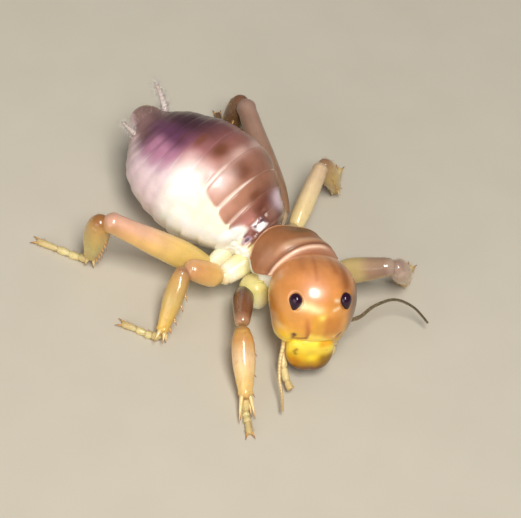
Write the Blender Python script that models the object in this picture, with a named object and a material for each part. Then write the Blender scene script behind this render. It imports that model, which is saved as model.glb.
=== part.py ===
"""A wingless burrowing cricket at life size, standing still on level ground.

The animal faces -Y, its left side is +X and the ground is z = 0. Every size and place below is in
millimetres. A node's mesh is modelled in millimetres and scaled to metres when it is placed.
"""
import math
import random

import bmesh
import bpy
from mathutils import Matrix, Vector

# Units, clearances and fineness
MM = 0.001
GAP = 0.3
FLOOR = 0.0
WELD = 0.0005
SEED = 17
TRUNK_SIDES = 24
LIMB_SIDES = 10
LIMB_RINGS = 8
HEAD_FINE = (11, 24)
LIP_FINE = (7, 16)
JAW_FINE = (7, 12)
EYE_FINE = (6, 12)
CREASE = 40.0

# Place on the ground that becomes the middle of the model
MIDDLE = (-2.0, 1.45)

# Trunk stations from neck to tail: x, y, z of the middle, half width, half height
TRUNK = (
    (-0.45, -5.8, 5.2, 2.1, 2.2),
    (-0.15, -3.9, 4.95, 3.0, 3.1),
    (-0.25, -1.9, 4.6, 2.9, 3.0),
    (-0.5, -0.3, 4.45, 2.75, 2.85),
    (-0.95, 0.9, 4.95, 3.1, 3.05),
    (-1.45, 2.4, 5.35, 4.05, 3.9),
    (-2.05, 4.6, 5.8, 5.2, 4.85),
    (-3.0, 7.1, 6.05, 5.45, 5.05),
    (-3.95, 9.5, 6.25, 4.95, 4.55),
    (-4.55, 11.6, 6.85, 3.8, 3.55),
    (-4.95, 13.0, 7.35, 2.05, 2.05),
    (-5.05, 14.0, 7.6, 1.45, 1.45),
    (-5.25, 14.8, 7.85, 0.7, 0.7),
)
# Where the trunk is parted, as places along its stations
NECK_END = 0.0
PRO_END = 2.3
MESO_END = 3.15
META_END = 3.9
ABDOMEN_END = 10.0
TIP_END = 12.0
# How far either side of a place its direction along the trunk is taken
TRUNK_LOOK = 0.6

# Abdomen plates: where each ends along the stations, and how far its rear edge steps up.
# The back plates lie about a midline that leans to the animal's left.
PLATE_ENDS = (4.15, 4.85, 5.45, 6.15, 6.95, 7.55, 7.95, 8.4, 8.9, 9.4, 9.88)
TERGITE_STEP = 0.2
TERGITE_REACH = 62.0
MIDLINE = 12.0
PLEURA_STEP = 0.12
PLEURA_REACH = 105.0
STERNITE_STEP = 0.06
PLATE_START = 0.07
PLATE_END = 0.96

# Saddle of the first thorax segment
PRONOTUM_SPAN = (0.3, 2.6)
PRONOTUM_THICK = 0.6
PRONOTUM_RIM = 0.14
PRONOTUM_REACH = 82.0
PRONOTUM_FINE = (7, 12)

# Head capsule, in its own frame: +X its left, -Y the face, +Z the crown
HEAD_AT = (-1.25, -8.15, 5.45)
HEAD_YAW = -24.0
HEAD_PITCH = 25.0
HEAD_HALF = (3.55, 3.6, 4.0)
HEAD_ROUND = 2.2
HEAD_TAPER = 0.15
HEAD_CHIN = -0.8
EYE_AT = (2.1, -2.72, 1.8)
EYE_HALF = (0.52, 0.62, 0.78)
EYE_TAPER = 0.25
LABRUM_AT = (-0.1, -1.5, -3.4)
LABRUM_HALF = (2.05, 1.05, 1.95)
MANDIBLE_AT = (0.85, -0.5, -3.95)
MANDIBLE_HALF = (1.15, 1.15, 1.3)
LABIUM_AT = (0.0, 1.15, -3.4)
LABIUM_HALF = (1.5, 0.75, 0.9)

# Feelers, palps and tail feelers: points along each, thickness at the root and near the tip
ANTENNAE = {
    "left": ((0.9, -10.0, 4.0), (2.6, -10.3, 3.6), (4.7, -9.8, 3.2), (7.0, -9.8, 2.7),
             (8.7, -10.7, 1.9), (9.5, -12.1, 1.0)),
    "right": ((-3.35, -8.0, 3.3), (-4.3, -9.3, 3.2), (-5.3, -10.5, 2.6), (-5.9, -11.6, 1.9),
              (-6.3, -12.8, 1.3), (-6.9, -13.9, 0.9)),
}
ANTENNA_THICK = (0.72, 0.5)
PALPS = {
    "left": ((-0.2, -9.8, 2.7), (0.4, -10.1, 1.9), (0.0, -10.6, 1.15), (-1.0, -11.0, 0.7)),
    "right": ((-3.3, -8.6, 2.75), (-4.35, -9.75, 1.8), (-4.9, -11.2, 1.1), (-5.0, -12.3, 0.75)),
}
PALP_THICK = (0.66, 0.56)
CERCI = {
    "left": ((-3.6, 12.9, 7.8), (-3.2, 13.5, 8.5), (-3.3, 14.2, 9.5), (-3.6, 14.8, 10.5)),
    "right": ((-5.4, 12.3, 7.0), (-6.2, 12.1, 7.5), (-7.0, 12.4, 8.3), (-7.7, 12.9, 9.2)),
}
CERCUS_THICK = (0.85, 0.5)

# Legs: root on the trunk, hip, knee, ankle and toe of each
LEGS = {
    "front_right": ((-1.9, -3.9, 3.9), (-4.35, -3.1, 3.0), (-7.15, -7.0, 4.4), (-9.1, -11.7, 1.2),
                    (-10.15, -14.3, 0.3)),
    "front_left": ((1.6, -3.9, 3.9), (3.8, -4.8, 3.0), (7.6, -7.8, 5.35), (10.05, -7.0, 1.15),
                   (12.0, -5.5, 0.3)),
    "mid_right": ((-2.2, -0.9, 3.8), (-4.6, -1.4, 2.8), (-8.6, 0.0, 4.8), (-12.0, -2.9, 0.9),
                  (-14.1, -0.1, 0.3)),
    "mid_left": ((1.5, -0.2, 3.8), (3.2, 0.8, 3.0), (8.2, 4.7, 5.3), (10.3, 4.5, 0.9),
                 (12.4, 6.8, 0.3)),
    "hind_right": ((-2.6, 0.9, 3.9), (-4.6, 0.5, 2.9), (-13.3, 6.1, 6.8), (-13.35, 6.8, 0.95),
                   (-16.4, 10.7, 0.3)),
    "hind_left": ((1.6, 1.6, 4.0), (3.7, 2.6, 3.2), (4.75, 13.1, 6.8), (4.0, 13.4, 0.95),
                  (5.6, 17.2, 0.3)),
}
# Half thickness of coxa, thigh, shin and foot of each leg, and the height to width of its thigh
LEG_THICK = {
    "front_right": (1.3, 0.88, 0.92, 0.34, 1.0),
    "front_left": (1.3, 1.08, 0.9, 0.34, 1.0),
    "mid_right": (1.3, 1.0, 0.85, 0.33, 1.0),
    "mid_left": (1.2, 1.0, 0.85, 0.33, 1.0),
    "hind_right": (1.3, 1.15, 1.05, 0.35, 1.08),
    "hind_left": (1.3, 1.15, 1.05, 0.35, 1.08),
}
# Lobe that hangs from a coxa: its two ends and its half thickness
COXA_LOBES = {"front_right": ((-2.9, -2.9, 4.2), (-3.35, -4.7, 1.75), 0.95)}
# Thickness along a part from its near end to its far end, as shares of its thickest
COXA_SHAPE = (1.0, 1.0, 0.9, 0.8, 0.7)
FEMUR_SHAPE = {
    "front": (0.72, 1.0, 0.97, 0.82, 0.7),
    "mid": (0.72, 1.0, 0.97, 0.82, 0.7),
    "hind": (0.7, 1.0, 0.95, 0.76, 0.68),
}
TIBIA_SHAPE = (0.72, 0.98, 1.0, 0.78, 0.52)
HIP_REACH = 0.12
KNEE_DRAW = 0.04

# Spines on the shins: rows by angle round the shin, and long spurs at its end
SPINE_ROWS = {"front": (60.0, -60.0), "mid": (45.0, -45.0, 150.0), "hind": (40.0, -40.0)}
SPINES_A_ROW = {"front": 2, "mid": 2, "hind": 3}
SPINE_SPAN = (0.35, 0.85)
SPINE_LONG = 0.8
SPINE_THICK = 0.5
SPINE_SINK = 0.4
SPINE_LEAN = 0.9
SPUR_ANGLES = (40.0, 105.0, -105.0, -40.0)
SPUR_LONG = {
    "front_right": 2.1,
    "front_left": 1.2,
    "mid_right": 1.3,
    "mid_left": 1.3,
    "hind_right": 1.6,
    "hind_left": 1.6,
}
SPUR_THICK = 0.5
SPUR_SPREAD = 0.5
SPUR_BACK = 0.6
SPUR_CLEAR = 0.2

# Feet: how far each sinks into the ground before its sole is cut flat, and its claws
SOLE = 0.06
FOOT_BEND = 0.22
CLAW_LONG = 0.9
CLAW_THICK = 0.5
CLAW_SPREAD = 0.5
CLAW_BACK = 0.3
CLAW_APART = 0.08

# Colours of the parts, as seen in a strong light, with their roughness
AMBER = (0.62, 0.22, 0.045)
TAN = (0.58, 0.24, 0.1)
CREAM = (0.8, 0.66, 0.38)
YELLOW = (0.78, 0.5, 0.06)
MAUVE = (0.45, 0.24, 0.24)
EYE = (0.015, 0.006, 0.03)
HONEY = (0.66, 0.34, 0.1)
GLOSSY = 0.25
SATIN = 0.45

SIDES = (("left", 1), ("right", -1))
LEFT = Vector((1, 0, 0))
BACK = Vector((0, 1, 0))
UP = Vector((0, 0, 1))
pieces = {}


def clear_scene():
    """Remove whatever the file opened with."""
    for item in list(bpy.data.objects):
        bpy.data.objects.remove(item, do_unlink=True)


def along(values, place):
    """Smooth value of a list of tuples or numbers at a place between its items."""
    last = len(values) - 1
    place = min(max(place, 0.0), float(last))
    low = min(int(place), last - 1)
    share = place - low
    four = [values[min(max(low + step, 0), last)] for step in (-1, 0, 1, 2)]
    if isinstance(values[0], (int, float)):
        four = [(item,) for item in four]
    blended = []
    for before, start_value, end_value, after in zip(*four):
        pull = 0.5 * (end_value - before)
        push = 0.5 * (after - start_value)
        rise = end_value - start_value
        cubic = pull + push - 2 * rise
        square = 3 * rise - 2 * pull - push
        blended.append(start_value + share * (pull + share * (square + share * cubic)))
    return blended if len(blended) > 1 else blended[0]


def link(name, shape):
    """Turn a bmesh into a linked object whose faces point out."""
    bmesh.ops.recalc_face_normals(shape, faces=shape.faces)
    if shape.calc_volume(signed=True) < 0:
        bmesh.ops.reverse_faces(shape, faces=shape.faces)
    mesh = bpy.data.meshes.new(name)
    shape.to_mesh(mesh)
    shape.free()
    item = bpy.data.objects.new(name, mesh)
    bpy.context.scene.collection.objects.link(item)
    return item


def lofted(name, rings):
    """A closed body lofted through rings of equally many points, with a fan at each end."""
    shape = bmesh.new()
    loops = [[shape.verts.new(point) for point in points] for points in rings]
    sides = len(loops[0])
    for near_loop, far_loop in zip(loops, loops[1:]):
        for side in range(sides):
            other = (side + 1) % sides
            shape.faces.new((near_loop[side], near_loop[other], far_loop[other], far_loop[side]))
    for loop in (loops[0][::-1], loops[-1]):
        middle = shape.verts.new(sum((vert.co for vert in loop), Vector()) / sides)
        for side in range(sides):
            shape.faces.new((loop[side], loop[(side + 1) % sides], middle))
    return link(name, shape)


def ring(middle, across, upward, half_across, half_up, sides, power=2.0):
    """Points of a rounded box or ellipse about a middle, starting at the top."""
    points = []
    for side in range(sides):
        turn = 2 * math.pi * side / sides
        sine = math.sin(turn)
        cosine = math.cos(turn)
        wide = math.copysign(abs(sine) ** (2 / power), sine)
        high = math.copysign(abs(cosine) ** (2 / power), cosine)
        points.append(middle + across * (half_across * wide) + upward * (half_up * high))
    return points


def settle_mesh(item, shape):
    """Give an object a new mesh from a bmesh."""
    shape.to_mesh(item.data)
    shape.free()


def enclosed(faces):
    """Volume that a set of triangles encloses."""
    total = 0.0
    for face in faces:
        first, second, third = (vert.co for vert in face.verts)
        total += first.dot(second.cross(third)) / 6
    return abs(total)


def keep_largest(item):
    """Keep only the largest closed surface of a mesh, with its slivers welded."""
    shape = bmesh.new()
    shape.from_mesh(item.data)
    bmesh.ops.remove_doubles(shape, verts=shape.verts, dist=WELD)
    bmesh.ops.dissolve_degenerate(shape, edges=shape.edges, dist=WELD)
    bmesh.ops.triangulate(shape, faces=shape.faces)
    left = set(shape.faces)
    islands = []
    while left:
        island = set()
        stack = [left.pop()]
        while stack:
            face = stack.pop()
            island.add(face)
            for edge in face.edges:
                for beside in edge.link_faces:
                    if beside in left:
                        left.remove(beside)
                        stack.append(beside)
        islands.append(island)
    largest = max(islands, key=enclosed)
    extra = [face for island in islands if island is not largest for face in island]
    bmesh.ops.delete(shape, geom=extra, context="FACES")
    bmesh.ops.recalc_face_normals(shape, faces=shape.faces)
    settle_mesh(item, shape)


def combine(item, operation, other):
    """Cut an object by another or join them, and keep the result as its mesh."""
    modifier = item.modifiers.new("combine", "BOOLEAN")
    modifier.operation = operation
    modifier.solver = "EXACT"
    modifier.use_self = True
    if isinstance(other, bpy.types.Collection):
        modifier.operand_type = "COLLECTION"
        modifier.collection = other
    else:
        modifier.object = other
    bpy.context.view_layer.update()
    evaluated = item.evaluated_get(bpy.context.evaluated_depsgraph_get())
    mesh = bpy.data.meshes.new_from_object(evaluated)
    item.modifiers.clear()
    old = item.data
    item.data = mesh
    bpy.data.meshes.remove(old)
    keep_largest(item)


def swollen(item):
    """A copy of an object grown outwards by the gap, as a cutter for its neighbours."""
    corner_limit = 1.6
    shape = bmesh.new()
    shape.from_mesh(item.data)
    shape.normal_update()
    moves = [vert.normal * GAP * min(vert.calc_shell_factor(), corner_limit) for vert in shape.verts]
    for vert, move in zip(shape.verts, moves):
        vert.co += move
    cutter = link("cutter", shape)
    cutter.hide_render = True
    cutter.display_type = "WIRE"
    return cutter


def box_of(item):
    """Lowest and highest corner of an object's mesh."""
    points = [vert.co for vert in item.data.vertices]
    low = [min(point[axis] for point in points) for axis in range(3)]
    high = [max(point[axis] for point in points) for axis in range(3)]
    return low, high


def meets(item, other):
    """Whether the boxes of two objects meet."""
    low, high = box_of(item)
    other_low, other_high = box_of(other)
    return all(low[axis] < other_high[axis] and other_low[axis] < high[axis] for axis in range(3))


def start(item):
    """Note a piece while its shape is plain, with the cutter that clears its neighbours."""
    pieces[item.name] = {"item": item, "cutter": swollen(item)}
    return item


def fit(item, names):
    """Cut an object clear of other pieces, so that it meets each one face to face."""
    for name in names:
        other = pieces[name]["cutter"]
        if meets(item, other):
            combine(item, "DIFFERENCE", other)


def clip(item, point, normal):
    """Keep the side of a body that a plane's normal points to, and close the cut."""
    shape = bmesh.new()
    shape.from_mesh(item.data)
    parts = shape.verts[:] + shape.edges[:] + shape.faces[:]
    cut = bmesh.ops.bisect_plane(shape, geom=parts, plane_co=point, plane_no=normal, clear_inner=True)
    rim = [part for part in cut["geom_cut"] if isinstance(part, bmesh.types.BMEdge)]
    if rim:
        bmesh.ops.holes_fill(shape, edges=rim)
    settle_mesh(item, shape)
    keep_largest(item)


def finish(item, colour, roughness, place):
    """Give a piece its own material and the frame or point that its node turns about."""
    material = bpy.data.materials.new(item.name)
    material.use_nodes = True
    shader = material.node_tree.nodes["Principled BSDF"]
    shader.inputs["Base Color"].default_value = (*colour, 1.0)
    shader.inputs["Roughness"].default_value = roughness
    shader.inputs["Metallic"].default_value = 0.0
    item.data.materials.clear()
    item.data.materials.append(material)
    pieces[item.name]["place"] = place if isinstance(place, Matrix) else Matrix.Translation(place)


def trunk_frame(place):
    """Middle, sideways and upward directions and half sizes of the trunk at a place."""
    x, y, z, half_width, half_height = along(TRUNK, place)
    beyond = Vector(along(TRUNK, place + TRUNK_LOOK)[:3])
    ahead = (beyond - Vector(along(TRUNK, place - TRUNK_LOOK)[:3])).normalized()
    across = UP.cross(ahead).normalized()
    return Vector((x, y, z)), -across, ahead.cross(across), half_width, half_height


def trunk_step(place):
    """Share of a station that spans half the gap there."""
    nearby = 0.05
    before = Vector(along(TRUNK, place - nearby)[:3])
    after = Vector(along(TRUNK, place + nearby)[:3])
    return 0.5 * GAP * 2 * nearby / (after - before).length


def trunk_piece(name, first, last, rings):
    """A plain length of the trunk, drawn back by half the gap at both ends."""
    low = first + trunk_step(first)
    high = last - trunk_step(last)
    loops = []
    for step in range(rings + 1):
        middle, across, upward, wide, tall = trunk_frame(low + (high - low) * step / rings)
        loops.append(ring(middle, across, upward, wide, tall, TRUNK_SIDES))
    return lofted(name, loops)


def plate_step(turn):
    """How far a plate's rear edge stands up at an angle round the trunk."""
    from_midline = abs((turn - MIDLINE + 180.0) % 360.0 - 180.0)
    if from_midline < TERGITE_REACH:
        return TERGITE_STEP
    return PLEURA_STEP if from_midline < PLEURA_REACH else STERNITE_STEP


def plate_ring(place, share):
    """A ring of the abdomen, standing up by a share of the steps of its plates."""
    middle, across, upward, wide, tall = trunk_frame(place)
    points = []
    for side in range(TRUNK_SIDES):
        turn = 2 * math.pi * side / TRUNK_SIDES
        lift = share * plate_step(math.degrees(turn))
        points.append(middle + across * ((wide + lift) * math.sin(turn))
                      + upward * ((tall + lift) * math.cos(turn)))
    return points


def abdomen_piece():
    """The abdomen, its plates stepping up towards the rear edge of each."""
    low = META_END + trunk_step(META_END)
    loops = [plate_ring(low, 0.0)]
    for high in PLATE_ENDS:
        for share in (PLATE_START, PLATE_END):
            loops.append(plate_ring(low + (high - low) * share, share))
        low = high
    loops.append(plate_ring(ABDOMEN_END - trunk_step(ABDOMEN_END), 0.0))
    return lofted("abdomen", loops)


def build_trunk():
    """Three thorax segments, the abdomen and its tip."""
    spans = (
        ("prothorax", NECK_END, PRO_END, 5, CREAM),
        ("mesothorax", PRO_END, MESO_END, 3, MAUVE),
        ("metathorax", MESO_END, META_END, 3, MAUVE),
        ("abdomen_tip", ABDOMEN_END, TIP_END, 5, MAUVE),
    )
    for name, low, high, rings, colour in spans:
        item = start(trunk_piece(name, low, high, rings))
        if name == "prothorax":
            fit(item, ["head"])
        finish(item, colour, SATIN, trunk_frame(0.5 * (low + high))[0])
    item = start(abdomen_piece())
    finish(item, MAUVE, SATIN, trunk_frame(0.5 * (META_END + ABDOMEN_END))[0])


def saddle_line(frame, reach, lift):
    """Points over the back from side to side, at a height above the trunk."""
    middle, across, upward, wide, tall = frame
    columns = PRONOTUM_FINE[1]
    points = []
    for column in range(columns + 1):
        turn = reach * (2 * column / columns - 1)
        points.append(middle + across * ((wide + lift) * math.sin(turn))
                      + upward * ((tall + lift) * math.cos(turn)))
    return points


def build_pronotum():
    """The saddle over the first thorax segment, with a raised rim in front and behind."""
    rows = PRONOTUM_FINE[0]
    first, last = PRONOTUM_SPAN
    loops = []
    for row in range(rows + 1):
        share = row / rows
        frame = trunk_frame(first + (last - first) * share)
        rim = PRONOTUM_RIM if row in (0, 1, rows - 1, rows) else 0.0
        thick = PRONOTUM_THICK * (0.75 + 0.25 * math.sin(math.pi * share)) + rim
        reach = math.radians(PRONOTUM_REACH) * (0.86 + 0.14 * math.sin(math.pi * share))
        outer = saddle_line(frame, reach, GAP + thick)
        inner = saddle_line(frame, reach, GAP)
        loops.append(outer + inner[::-1])
    shape = bmesh.new()
    lines = [[shape.verts.new(point) for point in loop] for loop in loops]
    size = len(lines[0])
    for near_line, far_line in zip(lines, lines[1:]):
        for side in range(size):
            other = (side + 1) % size
            shape.faces.new((near_line[side], near_line[other], far_line[other], far_line[side]))
    for line in (lines[0], lines[-1]):
        for column in range(PRONOTUM_FINE[1]):
            below = size - 1 - column
            shape.faces.new((line[column], line[column + 1], line[below - 1], line[below]))
    item = start(link("pronotum", shape))
    fit(item, ["head", "mesothorax", "metathorax", "abdomen"])
    finish(item, TAN, GLOSSY, trunk_frame(0.5 * (first + last))[0])


def head_frame():
    """Place and tilt of the head: it looks to its right and its mouth comes forward."""
    turn = Matrix.Rotation(math.radians(HEAD_YAW), 4, "Z")
    tilt = Matrix.Rotation(math.radians(-HEAD_PITCH), 4, "X")
    return Matrix.Translation(Vector(HEAD_AT)) @ turn @ tilt


def rounded(name, middle, half, fine, power=2.0, low=-1.0, taper=0.0):
    """A rounded body in the head's frame, from a low share of its height to its top."""
    frame = head_frame()
    rings, sides = fine
    pole = 0.985
    bottom = math.asin(max(low, -pole))
    top = math.asin(pole)
    loops = []
    for step in range(rings + 1):
        height = math.sin(bottom + (top - bottom) * step / rings)
        wide = max(1 - abs(height) ** power, 0.0) ** (1 / power) * (1 + taper * height)
        spot = Vector(middle) + UP * (half[2] * height)
        loop = ring(spot, LEFT, BACK, half[0] * wide, half[1] * wide, sides, power)
        loops.append([frame @ point for point in loop])
    return lofted(name, loops)


def build_head():
    """Head capsule with a socket for each eye, and the eyes."""
    frame = head_frame()
    middle = (0, 0, 0)
    head = start(rounded("head", middle, HEAD_HALF, HEAD_FINE, HEAD_ROUND, HEAD_CHIN, HEAD_TAPER))
    for side, sign in SIDES:
        spot = (sign * EYE_AT[0], EYE_AT[1], EYE_AT[2])
        eye = start(rounded("eye_" + side, spot, EYE_HALF, EYE_FINE, taper=EYE_TAPER))
        finish(eye, EYE, GLOSSY, frame)
        fit(head, [eye.name])
    finish(head, AMBER, GLOSSY, frame)


def build_mouth():
    """Upper lip, jaws and lower lip."""
    frame = head_frame()
    labrum = start(rounded("labrum", LABRUM_AT, LABRUM_HALF, LIP_FINE, 2.4))
    fit(labrum, ["head"])
    finish(labrum, YELLOW, GLOSSY, frame)
    for side, sign in SIDES:
        spot = (sign * MANDIBLE_AT[0], MANDIBLE_AT[1], MANDIBLE_AT[2])
        jaw = start(rounded("mandible_" + side, spot, MANDIBLE_HALF, JAW_FINE, 2.2, taper=0.2))
        inward = frame.to_3x3() @ Vector((sign, 0, 0))
        clip(jaw, Vector(HEAD_AT) + inward * (0.5 * GAP), inward)
        fit(jaw, ["head", "labrum"])
        finish(jaw, AMBER, GLOSSY, frame)
    labium = start(rounded("labium", LABIUM_AT, LABIUM_HALF, JAW_FINE, 2.2))
    fit(labium, ["head", "mandible_left", "mandible_right", "prothorax"])
    finish(labium, CREAM, SATIN, frame)


def feeler(name, points, thick, fine, power=1.0, bead=0.0, beads=1):
    """A slender limb through points, thinning from its root to a blunt tip."""
    rings, sides = fine
    blunt = 0.45
    loops = []
    for step in range(rings + 1):
        share = step / rings
        place = share * (len(points) - 1)
        ahead = Vector(along(points, place + 0.05)) - Vector(along(points, place - 0.05))
        ahead.normalize()
        across = ahead.cross(UP).normalized()
        half = 0.5 * (thick[0] + (thick[1] - thick[0]) * share ** power)
        half *= 1 + bead * math.cos(2 * math.pi * beads * share)
        if step in (0, rings):
            half *= blunt
        loops.append(ring(Vector(along(points, place)), across, across.cross(ahead), half, half, sides))
    return lofted(name, loops)


def build_feelers():
    """Antennae, jaw palps and cerci."""
    mouth = ["head", "labrum", "mandible_left", "mandible_right", "labium"]
    for side in ("left", "right"):
        palp = start(feeler("maxillary_palp_" + side, PALPS[side], PALP_THICK, (10, 7), bead=0.1, beads=4))
        fit(palp, mouth)
        finish(palp, CREAM, SATIN, Vector(PALPS[side][0]))
        antenna = start(feeler("antenna_" + side, ANTENNAE[side], ANTENNA_THICK, (15, 6), power=0.35))
        fit(antenna, [palp.name] + mouth)
        finish(antenna, HONEY, SATIN, Vector(ANTENNAE[side][0]))
        cercus = start(feeler("cercus_" + side, CERCI[side], CERCUS_THICK, (8, 7)))
        fit(cercus, ["abdomen", "abdomen_tip"])
        finish(cercus, CREAM, SATIN, Vector(CERCI[side][0]))


def limb(name, near_end, far_end, half, shape, side_way, tall=1.0):
    """One part of a leg between two points, with rounded ends and a swell along it."""
    ahead = (far_end - near_end).normalized()
    length = (far_end - near_end).length
    upward = side_way.cross(ahead).normalized()
    least = 0.04
    loops = []
    for step in range(LIMB_RINGS + 1):
        share = 0.5 - 0.5 * math.cos(math.pi * step / LIMB_RINGS)
        thickness = half * along(shape, share * (len(shape) - 1))
        room = min(share, 1 - share) * length
        if room < thickness:
            thickness *= max(1 - (1 - room / thickness) ** 2, least) ** 0.5
        middle = near_end + ahead * (length * share)
        loops.append(ring(middle, side_way, upward, thickness, thickness * tall, LIMB_SIDES))
    return lofted(name, loops)


def spike(root, way, long, thick):
    """A four-sided spine from its sunk root to its point."""
    way = way.normalized()
    across = way.orthogonal().normalized()
    upward = way.cross(across)
    tip = 0.12
    loops = []
    for share, size in ((0.0, 1.0), (1.0, tip)):
        middle = root + way * (long * share)
        loops.append(ring(middle, across, upward, 0.5 * thick * size, 0.5 * thick * size, 4))
    return lofted("spike", loops)


def join(item, extras):
    """Fuse small bodies into a piece in one union, and remove them."""
    group = bpy.data.collections.new("extras")
    for extra in extras:
        group.objects.link(extra)
    combine(item, "UNION", group)
    for extra in extras:
        bpy.data.objects.remove(extra, do_unlink=True)
    bpy.data.collections.remove(group)


def shin_spines(pair, knee, ankle, half, side_way, draw):
    """Spines in rows along a shin."""
    ahead = (ankle - knee).normalized()
    upward = side_way.cross(ahead)
    first, last = SPINE_SPAN
    count = SPINES_A_ROW[pair]
    spines = []
    for angle in SPINE_ROWS[pair]:
        turn = math.radians(angle)
        out = upward * math.cos(turn) + side_way * math.sin(turn)
        for step in range(count):
            share = first + (last - first) * (step + draw.uniform(-0.15, 0.15)) / (count - 1)
            here = half * along(TIBIA_SHAPE, share * (len(TIBIA_SHAPE) - 1))
            root = knee.lerp(ankle, share) + out * (here - SPINE_SINK)
            long = SPINE_LONG * draw.uniform(0.85, 1.15) + SPINE_SINK
            spines.append(spike(root, out + ahead * SPINE_LEAN, long, SPINE_THICK))
    return spines


def shin_spurs(leg, knee, ankle, toe, half, draw):
    """A crown of spurs at the end of a shin, turned away from the foot."""
    ahead = (ankle - knee).normalized()
    away = ankle - toe
    away = (away - ahead * away.dot(ahead)).normalized()
    spurs = []
    for angle in SPUR_ANGLES:
        out = Matrix.Rotation(math.radians(angle), 3, ahead) @ away
        root = ankle - ahead * SPUR_BACK + out * (0.3 * half)
        tip = root + (ahead + out * SPUR_SPREAD).normalized() * (SPUR_LONG[leg] * draw.uniform(0.85, 1.1))
        tip.z = max(tip.z, SPUR_CLEAR)
        spurs.append(spike(root, tip - root, (tip - root).length, SPUR_THICK))
    return spurs


def foot(name, ankle, toe, half):
    """A foot of three joints lying along the ground, with two claws."""
    end = Vector((toe.x, toe.y, half - SOLE))
    heel = Vector((ankle.x, ankle.y, half - SOLE)).lerp(end, FOOT_BEND)
    points = (tuple(ankle), tuple(heel), tuple(heel.lerp(end, 0.5)), tuple(end))
    item = feeler(name, points, (2.1 * half, 1.8 * half), (9, 7), bead=0.08, beads=3)
    ahead = (end - heel).normalized()
    across = ahead.cross(UP)
    claws = []
    for sign in (1, -1):
        root = end - ahead * CLAW_BACK + across * (sign * CLAW_APART)
        claws.append(spike(root, ahead + across * (sign * CLAW_SPREAD), CLAW_LONG, CLAW_THICK))
    join(item, claws)
    clip(item, (0, 0, FLOOR), (0, 0, 1))
    return item


def coxa_lobe(leg, side_way):
    """The lobe that hangs from a coxa."""
    top, bottom, half = COXA_LOBES[leg]
    return limb("lobe", Vector(top), Vector(bottom), half, COXA_SHAPE, side_way)


def build_leg(leg, draw):
    """Coxa, thigh, shin with its spines, and foot of one leg."""
    pair = leg.split("_")[0]
    root, hip, knee, ankle, toe = (Vector(point) for point in LEGS[leg])
    coxa_half, femur_half, tibia_half, foot_half, tall = LEG_THICK[leg]
    side_way = (knee - hip).cross(ankle - knee).normalized()
    trunk = ["head", "pronotum", "prothorax", "mesothorax", "metathorax", "abdomen"]
    others = [name for name in pieces if name.split("_")[-1] in ("coxa", "femur", "tibia")]
    coxa = limb(leg + "_coxa", root, hip.lerp(root, -HIP_REACH), coxa_half, COXA_SHAPE, side_way)
    if leg in COXA_LOBES:
        join(coxa, [coxa_lobe(leg, side_way)])
    start(coxa)
    fit(coxa, trunk + others)
    finish(coxa, CREAM, SATIN, root)
    thigh_end = knee.lerp(hip, -KNEE_DRAW)
    femur = start(limb(leg + "_femur", hip, thigh_end, femur_half, FEMUR_SHAPE[pair], side_way, tall))
    fit(femur, [coxa.name] + trunk + others)
    finish(femur, HONEY, GLOSSY, hip)
    tibia = start(limb(leg + "_tibia", knee, ankle, tibia_half, TIBIA_SHAPE, side_way))
    spines = shin_spines(pair, knee, ankle, tibia_half, side_way, draw)
    join(tibia, spines + shin_spurs(leg, knee, ankle, toe, tibia_half, draw))
    fit(tibia, [femur.name])
    finish(tibia, HONEY, GLOSSY, knee)
    tarsus = start(foot(leg + "_tarsus", ankle, toe, foot_half))
    fit(tarsus, [tibia.name])
    finish(tarsus, CREAM, SATIN, ankle)


def place_all():
    """Scale every piece to metres and hang it on one empty at the middle of the ground."""
    for piece in pieces.values():
        bpy.data.objects.remove(piece["cutter"], do_unlink=True)
    body = bpy.data.objects.new("cricket", None)
    bpy.context.scene.collection.objects.link(body)
    body.location = Vector((-MIDDLE[0], -MIDDLE[1], 0.0)) * MM
    for piece in pieces.values():
        item = piece["item"]
        place = piece["place"]
        item.data.transform(Matrix.Scale(MM, 4) @ place.inverted())
        item.parent = body
        item.matrix_local = Matrix.Translation(place.to_translation() * MM) @ place.to_3x3().to_4x4()
        item.data.shade_smooth()
        item.data.set_sharp_from_angle(angle=math.radians(CREASE))
    bpy.context.view_layer.update()


def build():
    """The whole animal."""
    draw = random.Random(SEED)
    clear_scene()
    build_head()
    build_trunk()
    build_pronotum()
    build_mouth()
    for leg in LEGS:
        build_leg(leg, draw)
    build_feelers()
    place_all()


build()
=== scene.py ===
import math
import random

import bpy
import numpy as np
from mathutils import Matrix, Vector


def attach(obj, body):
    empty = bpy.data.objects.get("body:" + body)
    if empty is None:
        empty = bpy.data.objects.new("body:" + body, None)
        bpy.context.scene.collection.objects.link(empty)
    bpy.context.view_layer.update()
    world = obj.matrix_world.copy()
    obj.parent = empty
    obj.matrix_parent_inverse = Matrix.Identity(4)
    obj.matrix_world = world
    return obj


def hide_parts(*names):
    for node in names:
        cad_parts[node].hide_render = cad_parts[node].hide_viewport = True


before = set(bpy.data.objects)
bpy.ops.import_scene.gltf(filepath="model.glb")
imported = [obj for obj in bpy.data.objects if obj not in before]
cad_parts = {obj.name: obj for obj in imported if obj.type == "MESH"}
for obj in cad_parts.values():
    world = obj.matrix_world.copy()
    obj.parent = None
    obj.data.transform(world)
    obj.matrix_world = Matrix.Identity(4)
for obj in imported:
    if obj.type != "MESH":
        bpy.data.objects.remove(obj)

# Sizes and places are in millimetres: the animal faces -Y, its left side is +X, the ground is z = 0.
# Meshes are moved to the row's frame and scaled to metres when they are made.
MM = 0.001
SHIFT = np.array((2, -1.45, 0))
GAP = 0.3
SEED = 17
HAIR_SEED = 29
LEG_SEED = 100
BRISTLE_CORNERS = 7
# Waves in an uneven field and in the streaks of a limb
WAVES = 16
STREAKS = 9
# Darkest and brightest that a linear colour may be
TINT_RANGE = (0.002, 0.98)
SIDES = ("left", "right")

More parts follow.
